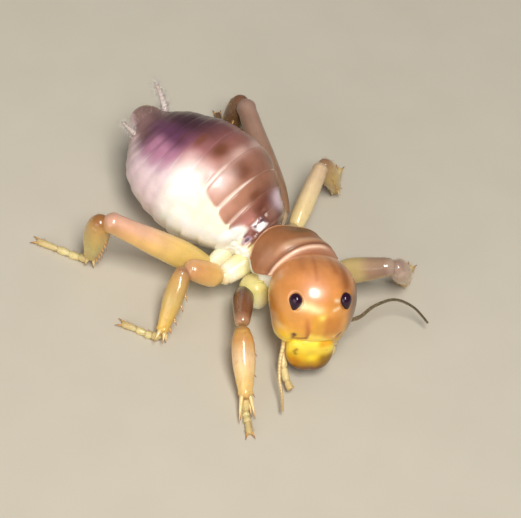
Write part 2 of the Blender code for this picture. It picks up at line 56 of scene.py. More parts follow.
# Trunk stations from neck to tail: x, y, z of the middle, half width, half height
TRUNK = (
    (-0.45, -5.8, 5.2, 2.1, 2.2),
    (-0.15, -3.9, 4.95, 3, 3.1),
    (-0.25, -1.9, 4.6, 2.9, 3),
    (-0.5, -0.3, 4.45, 2.75, 2.85),
    (-0.95, 0.9, 4.95, 3.1, 3.05),
    (-1.45, 2.4, 5.35, 4.05, 3.9),
    (-2.05, 4.6, 5.8, 5.2, 4.85),
    (-3, 7.1, 6.05, 5.45, 5.05),
    (-3.95, 9.5, 6.25, 4.95, 4.55),
    (-4.55, 11.6, 6.85, 3.8, 3.55),
    (-4.95, 13, 7.35, 2.05, 2.05),
    (-5.05, 14, 7.6, 1.45, 1.45),
    (-5.25, 14.8, 7.85, 0.7, 0.7),
)
TRUNK_LOOK = 0.6
TRUNK_END = 12
TRUNK_ROWS = 410
TRUNK_COLUMNS = 238
MIDLINE = 24
PLATE_ENDS = (3.15, 3.8, 4.17, 4.82, 5.43, 6.16, 6.84, 7.43, 7.9, 8.44, 8.93, 9.31, 9.67, 10.23)
# Stations and how far round the back the plates reach there, in degrees from the midline
PLATE_REACH = ((3, 84), (4.83, 84), (5.38, 75), (5.98, 68), (6.2, 66), (6.5, 63), (6.9, 64),
               (7.4, 71), (7.9, 79), (8.4, 85), (9, 90), (10, 92))
# Dark spots in a row on each side: station, degrees from the midline, size and strength
SPOTS = ((4.34, 27, 0.1, 0.7), (4.93, 29, 0.14, 0.9), (5.73, 27, 0.17, 0.95), (5.95, 29, 0.1, 0.5),
         (6.59, 28, 0.19, 0.95), (7.24, 30, 0.13, 0.75), (7.88, 36, 0.1, 0.4))

# Saddle of the first thorax segment
PRONOTUM_FRONT = 0.25
PRONOTUM_THICK = 0.6
PRONOTUM_REACH = 82
PRONOTUM_ROWS = 90
PRONOTUM_COLUMNS = 170
# Degrees round the trunk and the station of the saddle's rear edge there
PRONOTUM_REAR = ((-82, 1.8), (-65, 2), (-48, 2.2), (-35, 2.2), (-23, 2.15), (-11, 2.05), (3, 1.8),
                 (12, 1.65), (25, 1.5), (38, 1.42), (50, 1.4), (82, 1.5))

# Head, in its own frame: +X its left, -Y the face, +Z the crown
HEAD_AT = np.array((-1.25, -8.15, 5.45))
HEAD_YAW = -24
HEAD_PITCH = -25
HEAD_HALF = np.array((3.55, 3.6, 4))
HEAD_ROUND = 2.2
HEAD_TAPER = 0.15
HEAD_CHIN = -3.2
CHIN_SOFT = 0.25
EYE_AT = (2.05, -2.76, 1.72)
EYE_LENS = (0.58, 0.5, 0.78)
EYE_TURN = 46
LABRUM_AT = (-0.1, -1.5, -3.4)
LABRUM_HALF = (2.05, 1.05, 1.95)
MANDIBLE_AT = (0.85, -0.5, -3.95)
MANDIBLE_HALF = (1.15, 1.15, 1.3)
LABIUM_AT = (0, 1.15, -3.4)
LABIUM_HALF = (1.5, 0.75, 0.9)

# Feelers, palps and tail feelers: points along each
ANTENNAE = {
    "left": ((0.9, -10, 4), (2.5, -10.2, 3.9), (4.5, -9.6, 3.6), (6.8, -9.5, 3.1),
             (8.4, -10.4, 2.2), (9.2, -11.8, 1.2)),
    "right": ((-3.35, -8, 3.3), (-4.3, -9.3, 3.2), (-5.3, -10.5, 2.6), (-5.9, -11.6, 1.9),
              (-6.3, -12.8, 1.3), (-6.9, -13.9, 0.9)),
}
PALPS = {
    "left": ((-0.2, -9.8, 2.7), (0.4, -10.1, 1.9), (0, -10.6, 1.15), (-1, -11, 0.7)),
    "right": ((-3.3, -8.6, 2.75), (-4.35, -9.75, 1.8), (-4.9, -11.2, 1.1), (-5, -12.3, 0.75)),
}
CERCI = {
    "left": ((-3.6, 12.9, 7.8), (-3.2, 13.5, 8.5), (-3.3, 14.2, 9.5), (-3.6, 14.8, 10.5)),
    "right": ((-5.4, 12.3, 7), (-6.2, 12.1, 7.5), (-7, 12.4, 8.3), (-7.7, 12.9, 9.2)),
}

FEELER_BEADS = (34, 26)
CERCUS_RINGS = 11
JOINT_SWELL = 0.22
# Fineness: points along an edge of a rounded form, along a joint or a whole line, and round it
BALL_FINE = {"head": 112, "eye": 40, "labrum": 56, "mandible": 36, "labium": 30}
JOINT_RINGS = 14
BEAD_RINGS = 8
CERCUS_STEPS = 113
FOOT_STEPS = 97
PALP_SIDES = 20
FEELER_SIDES = 16
CERCUS_SIDES = 24
FOOT_SIDES = 20
HIP_GRID = (60, 40)
LIMB_GRID = (96, 48)

# Legs: root on the trunk, hip, knee, ankle and toe of each
LEGS = {
    "front_right": ((-1.9, -3.9, 3.9), (-4.35, -3.1, 3), (-7.15, -7, 4.4), (-9.1, -11.7, 1.2),
                    (-10.15, -14.3, 0.3)),
    "front_left": ((1.6, -3.9, 3.9), (3.8, -4.8, 3), (7.6, -7.8, 5.35), (10.05, -7, 1.15),
                   (12, -5.5, 0.3)),
    "mid_right": ((-2.2, -0.9, 3.8), (-4.6, -1.4, 2.8), (-8.6, 0, 4.8), (-12, -2.9, 0.9),
                  (-14.1, -0.1, 0.3)),
    "mid_left": ((1.5, -0.2, 3.8), (3.2, 0.8, 3), (8.2, 4.7, 5.3), (10.3, 4.5, 0.9),
                 (12.4, 6.8, 0.3)),
    "hind_right": ((-2.6, 0.9, 3.9), (-4.6, 0.5, 2.9), (-13.3, 6.1, 6.8), (-13.35, 6.8, 0.95),
                   (-16.4, 10.7, 0.3)),
    "hind_left": ((1.6, 1.6, 4), (3.7, 2.6, 3.2), (4.75, 13.1, 6.8), (4, 13.4, 0.95),
                  (5.6, 17.2, 0.3)),
}
# Half thickness of coxa, thigh, shin and foot, height to width of the thigh, lengths of the spines and
# the spurs, and how far the spurs spread
LEG_SIZES = {
    "front_right": (1.3, 0.88, 0.92, 0.34, 1, 0.7, 2.5, 0.24),
    "front_left": (1.3, 1.08, 0.9, 0.34, 1, 0.4, 0.8, 0.4),
    "mid_right": (1.1, 1, 0.85, 0.33, 1, 0.75, 1.3, 0.4),
    "mid_left": (0.8, 0.82, 0.85, 0.33, 1, 0.5, 1.1, 0.4),
    "hind_right": (1.15, 1.15, 1.05, 0.35, 1.08, 0.8, 1.4, 0.4),
    "hind_left": (0.9, 1.1, 1.05, 0.35, 1.08, 0.8, 1.4, 0.4),
}
# How far the inner end of a thigh lies from the hip's point
HIP_SHIFT = {"hind_right": (-1.05, 0, -0.17), "mid_right": (-0.8, 0.25, 0.2), "hind_left": (-0.63, 0, -0.27)}
# The lobe that hangs from a coxa: its two ends and half thickness
COXA_LOBES = {"front_right": ((-3.3, -2.6, 4.1), (-3.6, -4.6, 1.8), 1.4)}
COXA_SHAPE = (1, 1, 0.9, 0.8, 0.7)
LOBE_SHAPE = (1, 1, 0.95, 0.78, 0.5)
TIBIA_SHAPE = (0.72, 0.98, 1, 0.78, 0.52)
# Thickness along the thigh, angles of the rows of spines on the shin, and spines in a row
PAIRS = {
    "front": ((0.72, 1, 0.97, 0.82, 0.7), (60, -60), 3),
    "mid": ((0.76, 0.98, 0.98, 0.9, 0.8), (50, -50), 4),
    "hind": ((0.7, 1, 0.96, 0.8, 0.74), (40, -40), 6),
}
SPUR_ANGLES = (40, 105, -105, -40)

# Camera: turn, height and roll in degrees, its place and lens in millimetres
CAMERA_ANGLES = (-42, 50, 13.4)
CAMERA_AT = (-72.504, -83.576, 133.376)
CAMERA_LENS = 138.6
CAMERA_SENSOR = 36

# Colours as seen on a display, 0 to 255: in a list of stops each follows its place
SPOT = (122, 72, 50)
SEAM = (246, 222, 206)
PLATE_TINTS = (
    (2, 110, 72, 62), (3.4, 140, 98, 84), (4, 124, 74, 62), (4.5, 148, 98, 84),
    (5.15, 182, 128, 102), (5.8, 190, 138, 114), (6.5, 194, 134, 122), (7.1, 184, 120, 122),
    (7.6, 150, 92, 112), (8.2, 112, 66, 90), (8.7, 94, 56, 76), (9.2, 106, 72, 78),
    (9.7, 132, 98, 96), (10.5, 136, 106, 102), (12, 128, 98, 92),
)
# Along the middle of the back: a darker band, partly its own dorsal colour and partly painted shade of the
# far top edge.
BACK_TINTS = (
    (2, 96, 64, 54), (4.1, 98, 52, 40), (4.6, 116, 66, 50), (5.2, 152, 102, 80),
    (6, 156, 106, 88), (6.6, 146, 92, 84), (7.2, 104, 60, 62), (7.8, 72, 38, 46),
    (8.6, 64, 36, 46), (9.3, 84, 56, 60), (10.5, 122, 92, 88), (12, 120, 92, 86),
)
SIDE_TINTS = (
    (0, 236, 214, 140), (3, 240, 224, 170), (4, 255, 248, 218), (6.3, 255, 251, 224),
    (6.9, 254, 244, 232), (7.5, 244, 222, 220), (8.1, 234, 208, 210), (8.7, 214, 188, 194),
    (9.3, 176, 150, 150), (9.9, 150, 124, 120), (12, 146, 120, 112),
)
HEAD_TINTS = (
    (-3.3, 246, 196, 40), (-2.3, 246, 192, 44), (-1.6, 232, 166, 40), (-0.4, 226, 152, 48),
    (1, 222, 148, 62), (2.4, 220, 144, 70), (3.3, 224, 146, 78), (4.1, 220, 142, 78),
)
# Streaks of the crown seen from above: line, width, colour and strength
CROWN_STREAKS = (
    (((-1.2, 0.6), (-1.33, -1.1)), 0.36, (184, 108, 44), 0.45),
    (((-0.18, 0.86), (-0.39, -2.4)), 0.18, (180, 96, 44), 0.45),
    (((1.18, 0.3), (1.35, -1.5)), 0.3, (178, 102, 36), 0.65),
    (((2.06, -0.1), (2.16, -1.7), (2.2, -2.7)), 0.5, (150, 80, 22), 0.8),
)
LABRUM_TINTS = (
    (-5.3, 100, 58, 24), (-4.9, 140, 92, 20), (-4.5, 178, 126, 16), (-4.1, 206, 156, 22),
    (-3.6, 230, 188, 34), (-3.1, 248, 212, 60), (-2.7, 254, 220, 74), (-1.4, 252, 214, 70),
)
MANDIBLE_TINTS = ((-1.3, 84, 22, 14), (-0.8, 124, 44, 22), (-0.1, 190, 116, 46), (1.3, 214, 150, 64))
LABIUM_TINTS = ((-0.95, 214, 186, 122), (0.95, 238, 216, 160))
# Colours along the hip joint, thigh and shin of each leg
PARTS = ("hip", "thigh", "shin")
LEG_TINTS = {
    "front_right": (
        ((0, 226, 208, 138), (0.6, 222, 210, 132), (1, 206, 180, 110)),
        # The thigh's inner end is dark brown as painted shadow, where the head and the coxa shade it.
        ((0, 40, 22, 12), (0.22, 56, 32, 18), (0.38, 108, 64, 42), (0.8, 126, 80, 50),
         (0.93, 178, 134, 104), (1, 170, 126, 80)),
        ((0, 200, 156, 80), (0.2, 204, 148, 84), (0.45, 236, 200, 152), (0.8, 236, 196, 120),
         (1, 228, 184, 108)),
    ),
    "front_left": (
        ((0, 232, 214, 134), (1, 214, 190, 108)),
        ((0, 214, 190, 128), (0.45, 204, 178, 118), (0.62, 170, 134, 106), (0.85, 152, 118, 100),
         (1, 178, 154, 142)),
        ((0, 186, 162, 150), (0.4, 196, 166, 140), (1, 206, 168, 120)),
    ),
    "mid_right": (
        ((0, 226, 214, 168), (0.4, 232, 222, 168), (0.7, 252, 244, 220), (1, 232, 204, 140)),
        ((0, 232, 194, 118), (0.5, 218, 168, 98), (0.85, 206, 150, 94), (1, 208, 160, 122)),
        ((0, 186, 136, 102), (0.18, 202, 158, 94), (0.5, 204, 172, 102), (0.9, 224, 180, 84),
         (1, 200, 150, 72)),
    ),
    "mid_left": (
        ((0, 186, 160, 124), (1, 206, 180, 132)),
        ((0, 236, 212, 150), (0.5, 238, 212, 160), (0.8, 214, 182, 142), (1, 176, 142, 110)),
        ((0, 176, 140, 106), (0.4, 204, 172, 100), (1, 200, 166, 92)),
    ),
    "hind_right": (
        ((0, 232, 220, 176), (0.6, 250, 242, 212), (1, 230, 204, 136)),
        ((0, 196, 172, 100), (0.35, 222, 186, 104), (0.7, 232, 182, 114), (0.88, 208, 156, 108),
         (1, 192, 140, 90)),
        ((0, 174, 118, 60), (0.2, 196, 158, 90), (0.6, 202, 182, 98), (1, 192, 160, 80)),
    ),
    # The hind left leg is darker than the others: partly its own mauve-brown, partly painted shade.
    "hind_left": (
        ((0, 206, 186, 160), (1, 186, 156, 124)),
        ((0, 150, 114, 88), (0.6, 146, 110, 86), (0.85, 140, 104, 84), (1, 138, 110, 98)),
        ((0, 120, 88, 66), (0.3, 110, 78, 48), (0.7, 136, 104, 62), (1, 130, 94, 54)),
    ),
}
LOBE_TINTS = ((0, 222, 206, 140), (0.4, 220, 208, 128), (0.75, 244, 236, 178), (1, 250, 246, 214))
# Colour of the upper side of each thigh and how strongly it shows
THIGH_TOPS = {
    "front_right": ((146, 98, 66), 0.3), "front_left": ((186, 158, 122), 0.3),
    "mid_right": ((216, 158, 104), 0.4), "mid_left": ((222, 196, 160), 0.5),
    "hind_right": ((224, 172, 148), 0.8), "hind_left": ((168, 134, 116), 0.6),
}
FOOT_TINTS = ((0, 216, 190, 128), (0.5, 222, 208, 150), (1, 206, 176, 120))
# Painted shadow: the hind left foot is darker because it lies in shade.
SHADOWED_FOOT_TINTS = ((0, 128, 96, 68), (0.5, 136, 106, 78), (1, 118, 88, 64))
FEELER_TINTS = {
    # The left feeler is dark brown as painted shadow: it stands for the dark line of its shadow. The right
    # one keeps its pale colour.
    "left": ((0, 150, 116, 82), (0.12, 116, 96, 68), (0.5, 96, 86, 60), (1, 78, 66, 46)),
    "right": ((0, 236, 206, 140), (0.3, 232, 206, 146), (0.7, 216, 186, 126),
              (1, 190, 156, 104)),
}
PALP_TINTS = ((0, 236, 214, 150), (0.6, 230, 210, 150), (1, 206, 176, 116))
CERCUS_TINTS = ((0, 200, 178, 170), (0.4, 226, 212, 204), (1, 212, 196, 188))
SPINE_TINTS = ((0, 222, 178, 108), (0.5, 206, 154, 88), (0.85, 140, 84, 46), (1, 76, 40, 24))
SPUR_TINTS = ((0, 228, 196, 128), (0.6, 236, 206, 146), (0.88, 206, 156, 96), (1, 112, 68, 40))
SOCKET_TINTS = ((0, 216, 170, 104), (1, 190, 140, 82))

# Grids of points and the directions they face, for the bristles
skins = {}


def srgb(code):
    """Linear colour of a display colour."""
    share = np.asarray(code, float) / 255
    return np.where(share <= 0.04045, share / 12.92, ((share + 0.055) / 1.055) ** 2.4)


def shades(stops, places):
    """Linear colours at places along a list of stops."""
    table = np.array(stops, float)
    colours = srgb(table[:, 1:])
    return np.stack([np.interp(places, table[:, 0], colours[:, part]) for part in range(3)], axis=-1)


def painted(tint, *layers):
    """Linear colours with display colours, or linear ones, laid over them by weight."""
    for code, weight in layers:
        colour = srgb(code) if len(np.shape(code)) == 1 else code
        share = np.clip(np.asarray(weight, float), 0, 1)[..., None]
        tint = tint * (1 - share) + colour * share
    return tint


def mottled(tint, points, *layers):
    """Linear colours made uneven by ripples of a strength, size and seed."""
    uneven = sum(strength * ripple(points, size, seed) for strength, size, seed in layers)
    return tint * (1 + uneven)[..., None]


def smooth(low, high, value):
    """Smooth step from 0 at low to 1 at high."""
    share = np.clip((value - low) / (high - low), 0, 1)
    return share * share * (3 - 2 * share)


def hump(value, middle, width):
    """Bell from 0 to 1 about a middle."""
    return np.exp(-((value - middle) / width) ** 2)


def band(value, low, rise, fall, high):
    """Product of two smooth steps of a value."""
    return smooth(low, rise, value) * smooth(fall, high, value)


def spot(value, middle, width, other, middle_other, width_other):
    """Bell about a place given by two values."""
    return hump(value, middle, width) * hump(other, middle_other, width_other)


def unit(vectors):
    """Vectors at length one."""
    return vectors / np.maximum(np.linalg.norm(vectors, axis=-1, keepdims=True), 1e-12)


def capped(value, start, end, least=0):
    """A factor that rounds off from 1 at the start to its least at the end."""
    share = np.clip((value - start) / (end - start), 0, 1)
    return np.sqrt(np.maximum(1 - share ** 2, least))


def curve(values, place):
    """Smooth values of a list of points or numbers at places between its items."""
    table = np.asarray(values, float)
    if table.ndim == 1:
        table = table[:, None]
    place = np.clip(np.asarray(place, float), 0, len(table) - 1)
    low = np.minimum(place.astype(int), len(table) - 2)
    share = (place - low)[..., None]
    before, start, end, after = (table[np.clip(low + step, 0, len(table) - 1)] for step in (-1, 0, 1, 2))
    pull = 0.5 * (end - before)
    push = 0.5 * (after - start)
    rise = end - start
    return start + share * (pull + share * ((3 * rise - 2 * pull - push) + share * (pull + push - 2 * rise)))


def ripple(points, size, seed):
    """Smooth uneven field, about -1 to 1, with bumps about as wide as a size."""
    draw = np.random.default_rng(seed)
    ways = unit(draw.normal(size=(WAVES, 3))) * (math.pi / size * draw.uniform(0.6, 1.5, (WAVES, 1)))
    phases = draw.uniform(0, 2 * math.pi, WAVES)
    return np.sin(points @ ways.T + phases).sum(axis=-1) * (1.4 / math.sqrt(WAVES))


def near_line(across, upward, line):
    """Distance of places on a plane from a line through points."""
    spots = np.stack([across, upward], axis=-1)
    least = np.full(across.shape, 1e9)
    for start, end in zip(line, line[1:]):
        start = np.array(start, float)
        way = np.array(end, float) - start
        share = np.clip(((spots - start) @ way) / (way @ way), 0, 1)
        least = np.minimum(least, np.linalg.norm(spots - start - share[..., None] * way, axis=-1))
    return least


# Meshes


def quads_of(index):
    """Four-sided faces between neighbours in a grid of corner numbers."""
    return np.stack([index[:-1, :-1], index[:-1, 1:], index[1:, 1:], index[1:, :-1]], axis=-1).reshape(-1, 4)


def grid_skin(points, tint, closed=True):
    """Corners, faces and colours of a surface through rows of points, closed round and at both ends."""
    rows, columns = points.shape[:2]
    corners = points.reshape(-1, 3)
    colours = np.broadcast_to(tint, points.shape).reshape(-1, 3)
    index = np.arange(rows * columns).reshape(rows, columns)
    if not closed:
        return corners, quads_of(index).tolist(), colours
    faces = quads_of(np.hstack([index, index[:, :1]])).tolist()
    for near, ring in ((True, index[0]), (False, index[-1])):
        middle = len(corners)
        corners = np.vstack([corners, corners[ring].mean(axis=0)])
        colours = np.vstack([colours, colours[ring].mean(axis=0)])
        for here, there in zip(ring.tolist(), np.roll(ring, -1).tolist()):
            faces.append([there, here, middle] if near else [here, there, middle])
    return corners, faces, colours


def outward(skin):
    """The skin with its faces turned to look out."""
    corners, faces, colours = skin
    middle = corners.mean(axis=0)
    total = 0
    for face in faces[:: max(1, len(faces) // 4000)]:
        first, second, third = (corners[index] - middle for index in face[:3])
        total += float(first @ np.cross(second, third))
    if total < 0:
        faces = [face[::-1] for face in faces]
    return corners, faces, colours


def add_object(name, data):
    """A new object in the scene."""
    item = bpy.data.objects.new(name, data)
    bpy.context.scene.collection.objects.link(item)
    return item


def make_piece(name, skin, material, nodes=()):
    """A mesh object in the row's frame, painted, with its material; the nodes it stands for are hidden."""
    corners, faces, colours = skin
    mesh = bpy.data.meshes.new(name)
    mesh.from_pydata(((corners + SHIFT) * MM).tolist(), [], faces)
    paint = mesh.attributes.new("tint", "FLOAT_COLOR", "POINT")
    rgba = np.ones((len(corners), 4), np.float32)
    rgba[:, :3] = np.clip(colours, *TINT_RANGE)
    paint.data.foreach_set("color", rgba.ravel())
    mesh.shade_smooth()
    mesh.materials.append(materials[material])
    item = add_object(name, mesh)
    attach(item, "root")
    if nodes:
        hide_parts(*nodes)
    return mesh


def join_piece(name, skin_list, material, slot, *nodes):
    """One piece out of several skins, each turned to look out."""
    parts = [outward(skin) for skin in skin_list]
    faces = []
    count = 0
    for corners, part_faces, _ in parts:
        faces.extend([index + count for index in face] for face in part_faces)
        count += len(corners)
    skin = (np.vstack([part[0] for part in parts]), faces, np.vstack([part[2] for part in parts]))
    make_piece(name, skin, material, nodes)


def ball(fine):
    """Directions and four-sided faces of a cube's grid blown up to a sphere."""
    step, other = np.meshgrid(np.arange(fine + 1), np.arange(fine + 1), indexing="ij")
    spots = []
    quads = []
    size = (fine + 1) ** 2
    index = np.arange(size).reshape(fine + 1, fine + 1)
    square = np.stack([index[:-1, :-1], index[1:, :-1], index[1:, 1:], index[:-1, 1:]], axis=-1)
    square = square.reshape(-1, 4)
    for axis in range(3):
        for side in (0, fine):
            face = np.zeros((fine + 1, fine + 1, 3), int)
            face[..., axis] = side
            face[..., (axis + 1) % 3] = step
            face[..., (axis + 2) % 3] = other
            quads.append((square if side else square[:, ::-1]) + size * len(spots))
            spots.append(face.reshape(-1, 3))
    whole, places = np.unique(np.concatenate(spots), axis=0, return_inverse=True)
    faces = places.reshape(-1)[np.concatenate(quads)]
    directions = unit(np.tan((whole / fine - 0.5) * (math.pi / 2)))
    return directions, faces.tolist()


def rounded(directions, half, power):
    """Points of a rounded box about its middle, and the directions its surface faces."""
    half = np.asarray(half, float)
    reach = (np.abs(directions / half) ** power).sum(axis=-1, keepdims=True) ** (-1 / power)
    points = directions * reach
    facing = unit(np.sign(points) * np.abs(points / half) ** (power - 1) / half)
    return points, facing


def tube(points, across, upward, half, sides):
    """Rows of points round a line, with their angles."""
    turn = np.linspace(0, 2 * math.pi, sides, endpoint=False)
    wide = half[:, None] * np.sin(turn)
    high = half[:, None] * np.cos(turn)
    ring = across[:, None] * wide[..., None] + upward[:, None] * high[..., None]
    return points[:, None] + ring, turn


def grid_facing(points):
    """Directions that a closed grid of points faces."""
    along_rows = np.gradient(points, axis=0)
    wrapped = np.concatenate((points[:, -1:], points, points[:, :1]), axis=1)
    facing = unit(np.cross(wrapped[:, 2:] - wrapped[:, :-2], along_rows))
    out = points - points.mean(axis=1, keepdims=True)
    return -facing if (facing * out).sum(axis=-1).mean() < 0 else facing


def kept_skin(name, points, tint):
    """Skin through rows of points, kept for its bristles."""
    skins[name] = (points, grid_facing(points))
    return grid_skin(points, tint)


def cone(root, way, long, thick, tints, bend=(0, 0, 0), rings=7, sides=8):
    """A tapered, slightly bent spine with its colours from root to tip."""
    root = np.asarray(root, float)
    way = unit(np.asarray(way, float))
    across = unit(np.cross(way, (0.31, 0.17, 0.93)))
    upward = np.cross(way, across)
    share = np.linspace(0, 1, rings)
    middle = root + way * (long * share)[:, None] + np.asarray(bend, float) * (long * share ** 2)[:, None]
    half = 0.5 * thick * (1 - share ** 1.3 * 0.93)
    points, _ = tube(middle, np.tile(across, (rings, 1)), np.tile(upward, (rings, 1)), half, sides)
    return grid_skin(points, shades(tints, share)[:, None])


# Materials


def link(tree, source, target):
    """Join two sockets."""
    tree.links.new(source, target)


def noise(tree, size, detail, coordinates):
    """Noise with features about as wide as a size in millimetres."""
    node = tree.nodes.new("ShaderNodeTexNoise")
    node.inputs["Scale"].default_value = 1 / (size * MM)
    node.inputs["Detail"].default_value = detail
    link(tree, coordinates, node.inputs["Vector"])
    return node.outputs["Fac"]


def ranged(tree, value, low, high):
    """A value from 0 to 1 spread over another range."""
    node = tree.nodes.new("ShaderNodeMapRange")
    node.inputs["From Min"].default_value = 0.3
    node.inputs["From Max"].default_value = 0.7
    node.inputs["To Min"].default_value = low
    node.inputs["To Max"].default_value = high
    link(tree, value, node.inputs["Value"])
    return node.outputs["Result"]


def new_material(name):
    """A material with its tree of nodes, its shader and places on the object."""
    material = bpy.data.materials.new(name)
    material.use_nodes = True
    tree = material.node_tree
    place = tree.nodes.new("ShaderNodeTexCoord").outputs["Object"]
    return material, tree, tree.nodes["Principled BSDF"], place


def surface(name, rough, coat, grain, depth, glow, cells=0, shine=0.5, veil=0.14, lacquer=1.5):
    """A painted living surface: mottled colour, uneven gloss, fine relief and a soft glow within."""
    material, tree, shader, place = new_material(name)
    paint = tree.nodes.new("ShaderNodeAttribute")
    paint.attribute_name = "tint"
    mottle = ranged(tree, noise(tree, 1.1, 3, place), 0.95, 1.05)
    speck = ranged(tree, noise(tree, grain * 1.5, 2, place), 0.975, 1.02)
    both = tree.nodes.new("ShaderNodeMath")
    both.operation = "MULTIPLY"
    link(tree, mottle, both.inputs[0])
    link(tree, speck, both.inputs[1])
    mixer = tree.nodes.new("ShaderNodeVectorMath")
    mixer.operation = "SCALE"
    link(tree, paint.outputs["Color"], mixer.inputs[0])
    link(tree, both.outputs[0], mixer.inputs["Scale"])
    link(tree, mixer.outputs[0], shader.inputs["Base Color"])
    gloss = ranged(tree, noise(tree, 0.4, 3, place), rough - 0.04, rough + 0.06)
    link(tree, gloss, shader.inputs["Roughness"])
    bump = tree.nodes.new("ShaderNodeBump")
    bump.inputs["Strength"].default_value = 0.5
    bump.inputs["Distance"].default_value = depth * MM
    if cells:
        pits = tree.nodes.new("ShaderNodeTexVoronoi")
        pits.inputs["Scale"].default_value = 1 / (cells * MM)
        link(tree, place, pits.inputs["Vector"])
        link(tree, pits.outputs["Distance"], bump.inputs["Height"])
    else:
        link(tree, noise(tree, grain, 3, place), bump.inputs["Height"])
    link(tree, bump.outputs["Normal"], shader.inputs["Normal"])
    values = {
        "Coat Weight": coat, "Coat Roughness": veil, "Coat IOR": lacquer, "IOR": 1.5,
        "Specular IOR Level": shine, "Subsurface Weight": glow,
        "Subsurface Radius": (1, 0.5, 0.25), "Subsurface Scale": 0.5 * MM,
    }
    for socket, value in values.items():
        shader.inputs[socket].default_value = value
    return material


def ground_material():
    """Plain pale ground with a faint unevenness."""
    material, tree, shader, place = new_material("pale_ground")
    ramp = tree.nodes.new("ShaderNodeValToRGB")
    ramp.color_ramp.elements[0].color = (0.535, 0.486, 0.395, 1)
    ramp.color_ramp.elements[1].color = (0.585, 0.535, 0.44, 1)
    link(tree, noise(tree, 6, 2, place), ramp.inputs["Fac"])
    link(tree, ramp.outputs["Color"], shader.inputs["Base Color"])
    shader.inputs["Roughness"].default_value = 0.9
    return material


materials = {
    "shell": surface("amber_shell", 0.42, 1, 0.12, 0.002, 0.15, shine=0.2, veil=0.25, lacquer=1.85),
    "plate": surface("satin_plate", 0.45, 0.35, 0.12, 0.005, 0.15, shine=0.3, veil=0.25),
    "skin": surface("banded_skin", 0.36, 0.5, 0.14, 0.006, 0.2, shine=0.25, veil=0.2),
    "limb": surface("honey_limb", 0.4, 1, 0.12, 0.003, 0.15, shine=0.25, veil=0.12),
    "soft": surface("pale_soft", 0.4, 0.3, 0.08, 0.006, 0.2, shine=0.25),
    "lip": surface("yellow_lip", 0.3, 0.5, 0.12, 0.004, 0.2, shine=0.2, veil=0.18),
    "eye": surface("dark_eye", 0.2, 0.8, 0.04, 0.001, 0, cells=0.035, shine=0.05, veil=0.05),
    "bristle": surface("amber_bristle", 0.4, 0.1, 0.05, 0.002, 0),
}


# Trunk


def trunk_frame(place):
    """Middle, sideways and upward directions and half sizes of the trunk at places."""
    station = curve(TRUNK, place)
    ahead = unit(curve(TRUNK, place + TRUNK_LOOK)[..., :3] - curve(TRUNK, place - TRUNK_LOOK)[..., :3])
    across = unit(np.cross((0, 0, 1), ahead))
    return station[..., :3], -across, np.cross(ahead, across), station[..., 3], station[..., 4]


def trunk_points(place, turn, lift, size=1):
    """Points over the trunk at places and angles, lifted off it."""
    middle, across, upward, wide, tall = trunk_frame(place)
    sideways = across * ((wide * size + lift) * np.sin(turn))[..., None]
    return middle + sideways + upward * ((tall * size + lift) * np.cos(turn))[..., None]


def plate_field(place, away):
    """How much a place is back plate, how far it is through the plate, and distance to a plate's end."""
    ends = np.array(PLATE_ENDS)
    number = np.clip(np.searchsorted(ends, place, side="right"), 1, len(ends) - 1)
    low = ends[number - 1]
    high = ends[number]
    share = (place - low) / (high - low)
    reach = np.interp(place, *zip(*PLATE_REACH))
    corner = np.maximum(np.abs(share - 0.5) * 2 - 0.4, 0) / 0.6
    reach = reach - 9 * (1 - np.sqrt(np.maximum(1 - corner ** 2, 0)))
    edge = np.minimum(place - low, high - place)
    soft = smooth(6, 6.5, place)
    return smooth(1.5 + 6 * soft, -2.5 - 16 * soft, away - reach), share, edge, reach


def trunk_lift(place, away):
    """Relief of plates, seams, side folds and belly plates."""
    plate, share, edge, reach = plate_field(place, away)
    rear = np.clip(share, 0, 1)
    faint = smooth(6.3, 7, place)
    seam_half = 0.03 + 0.04 * smooth(20, 60, away) + 0.04 * faint
    seam = 1 - smooth(seam_half * 0.3, seam_half * 1.5, edge)
    tail = smooth(12, 9.5, place)
    abdomen = smooth(3.9, 4.6, place)
    step = (0.04 + 0.1 * smooth(0, 0.85, rear)) * (1 - seam) - 0.05 * seam
    back = step * (1 - 0.85 * faint)
    side = (0.05 * np.sin(math.pi * rear) ** 0.8 - 0.02 * seam) * (0.4 + 0.5 * smooth(7, 7.8, place))
    belly = (0.02 + 0.07 * smooth(0, 0.8, rear)) * (1 - seam)
    low = smooth(112, 130, away)
    flank = side * (1 - low) + belly * low
    edge_groove = 0.05 * hump(away, reach + 4, 4) * (1 - 0.8 * faint)
    return (back * plate + flank * (1 - plate) - edge_groove) * tail * abdomen


def thorax_sink(place, degrees):
    """How far the upper and left sides of the thorax lie inside its stations."""
    top = band(degrees, -30, 15, 150, 100)
    waist = band(degrees, 5, 45, 140, 95)
    span = band(place, 0.45, 1.1, 3.7, 3)
    return 0.5 * top * span + 0.6 * waist * hump(place, 2.95, 0.6)


def bulge_field(place, away):
    """Distance from the middle of the pale lobe low on each side of the waist, 1 at its edge."""
    along = (away - 94) / 30
    return np.sqrt(along ** 2 + ((place - 4.48 - 0.22 * along) / 0.34) ** 2)


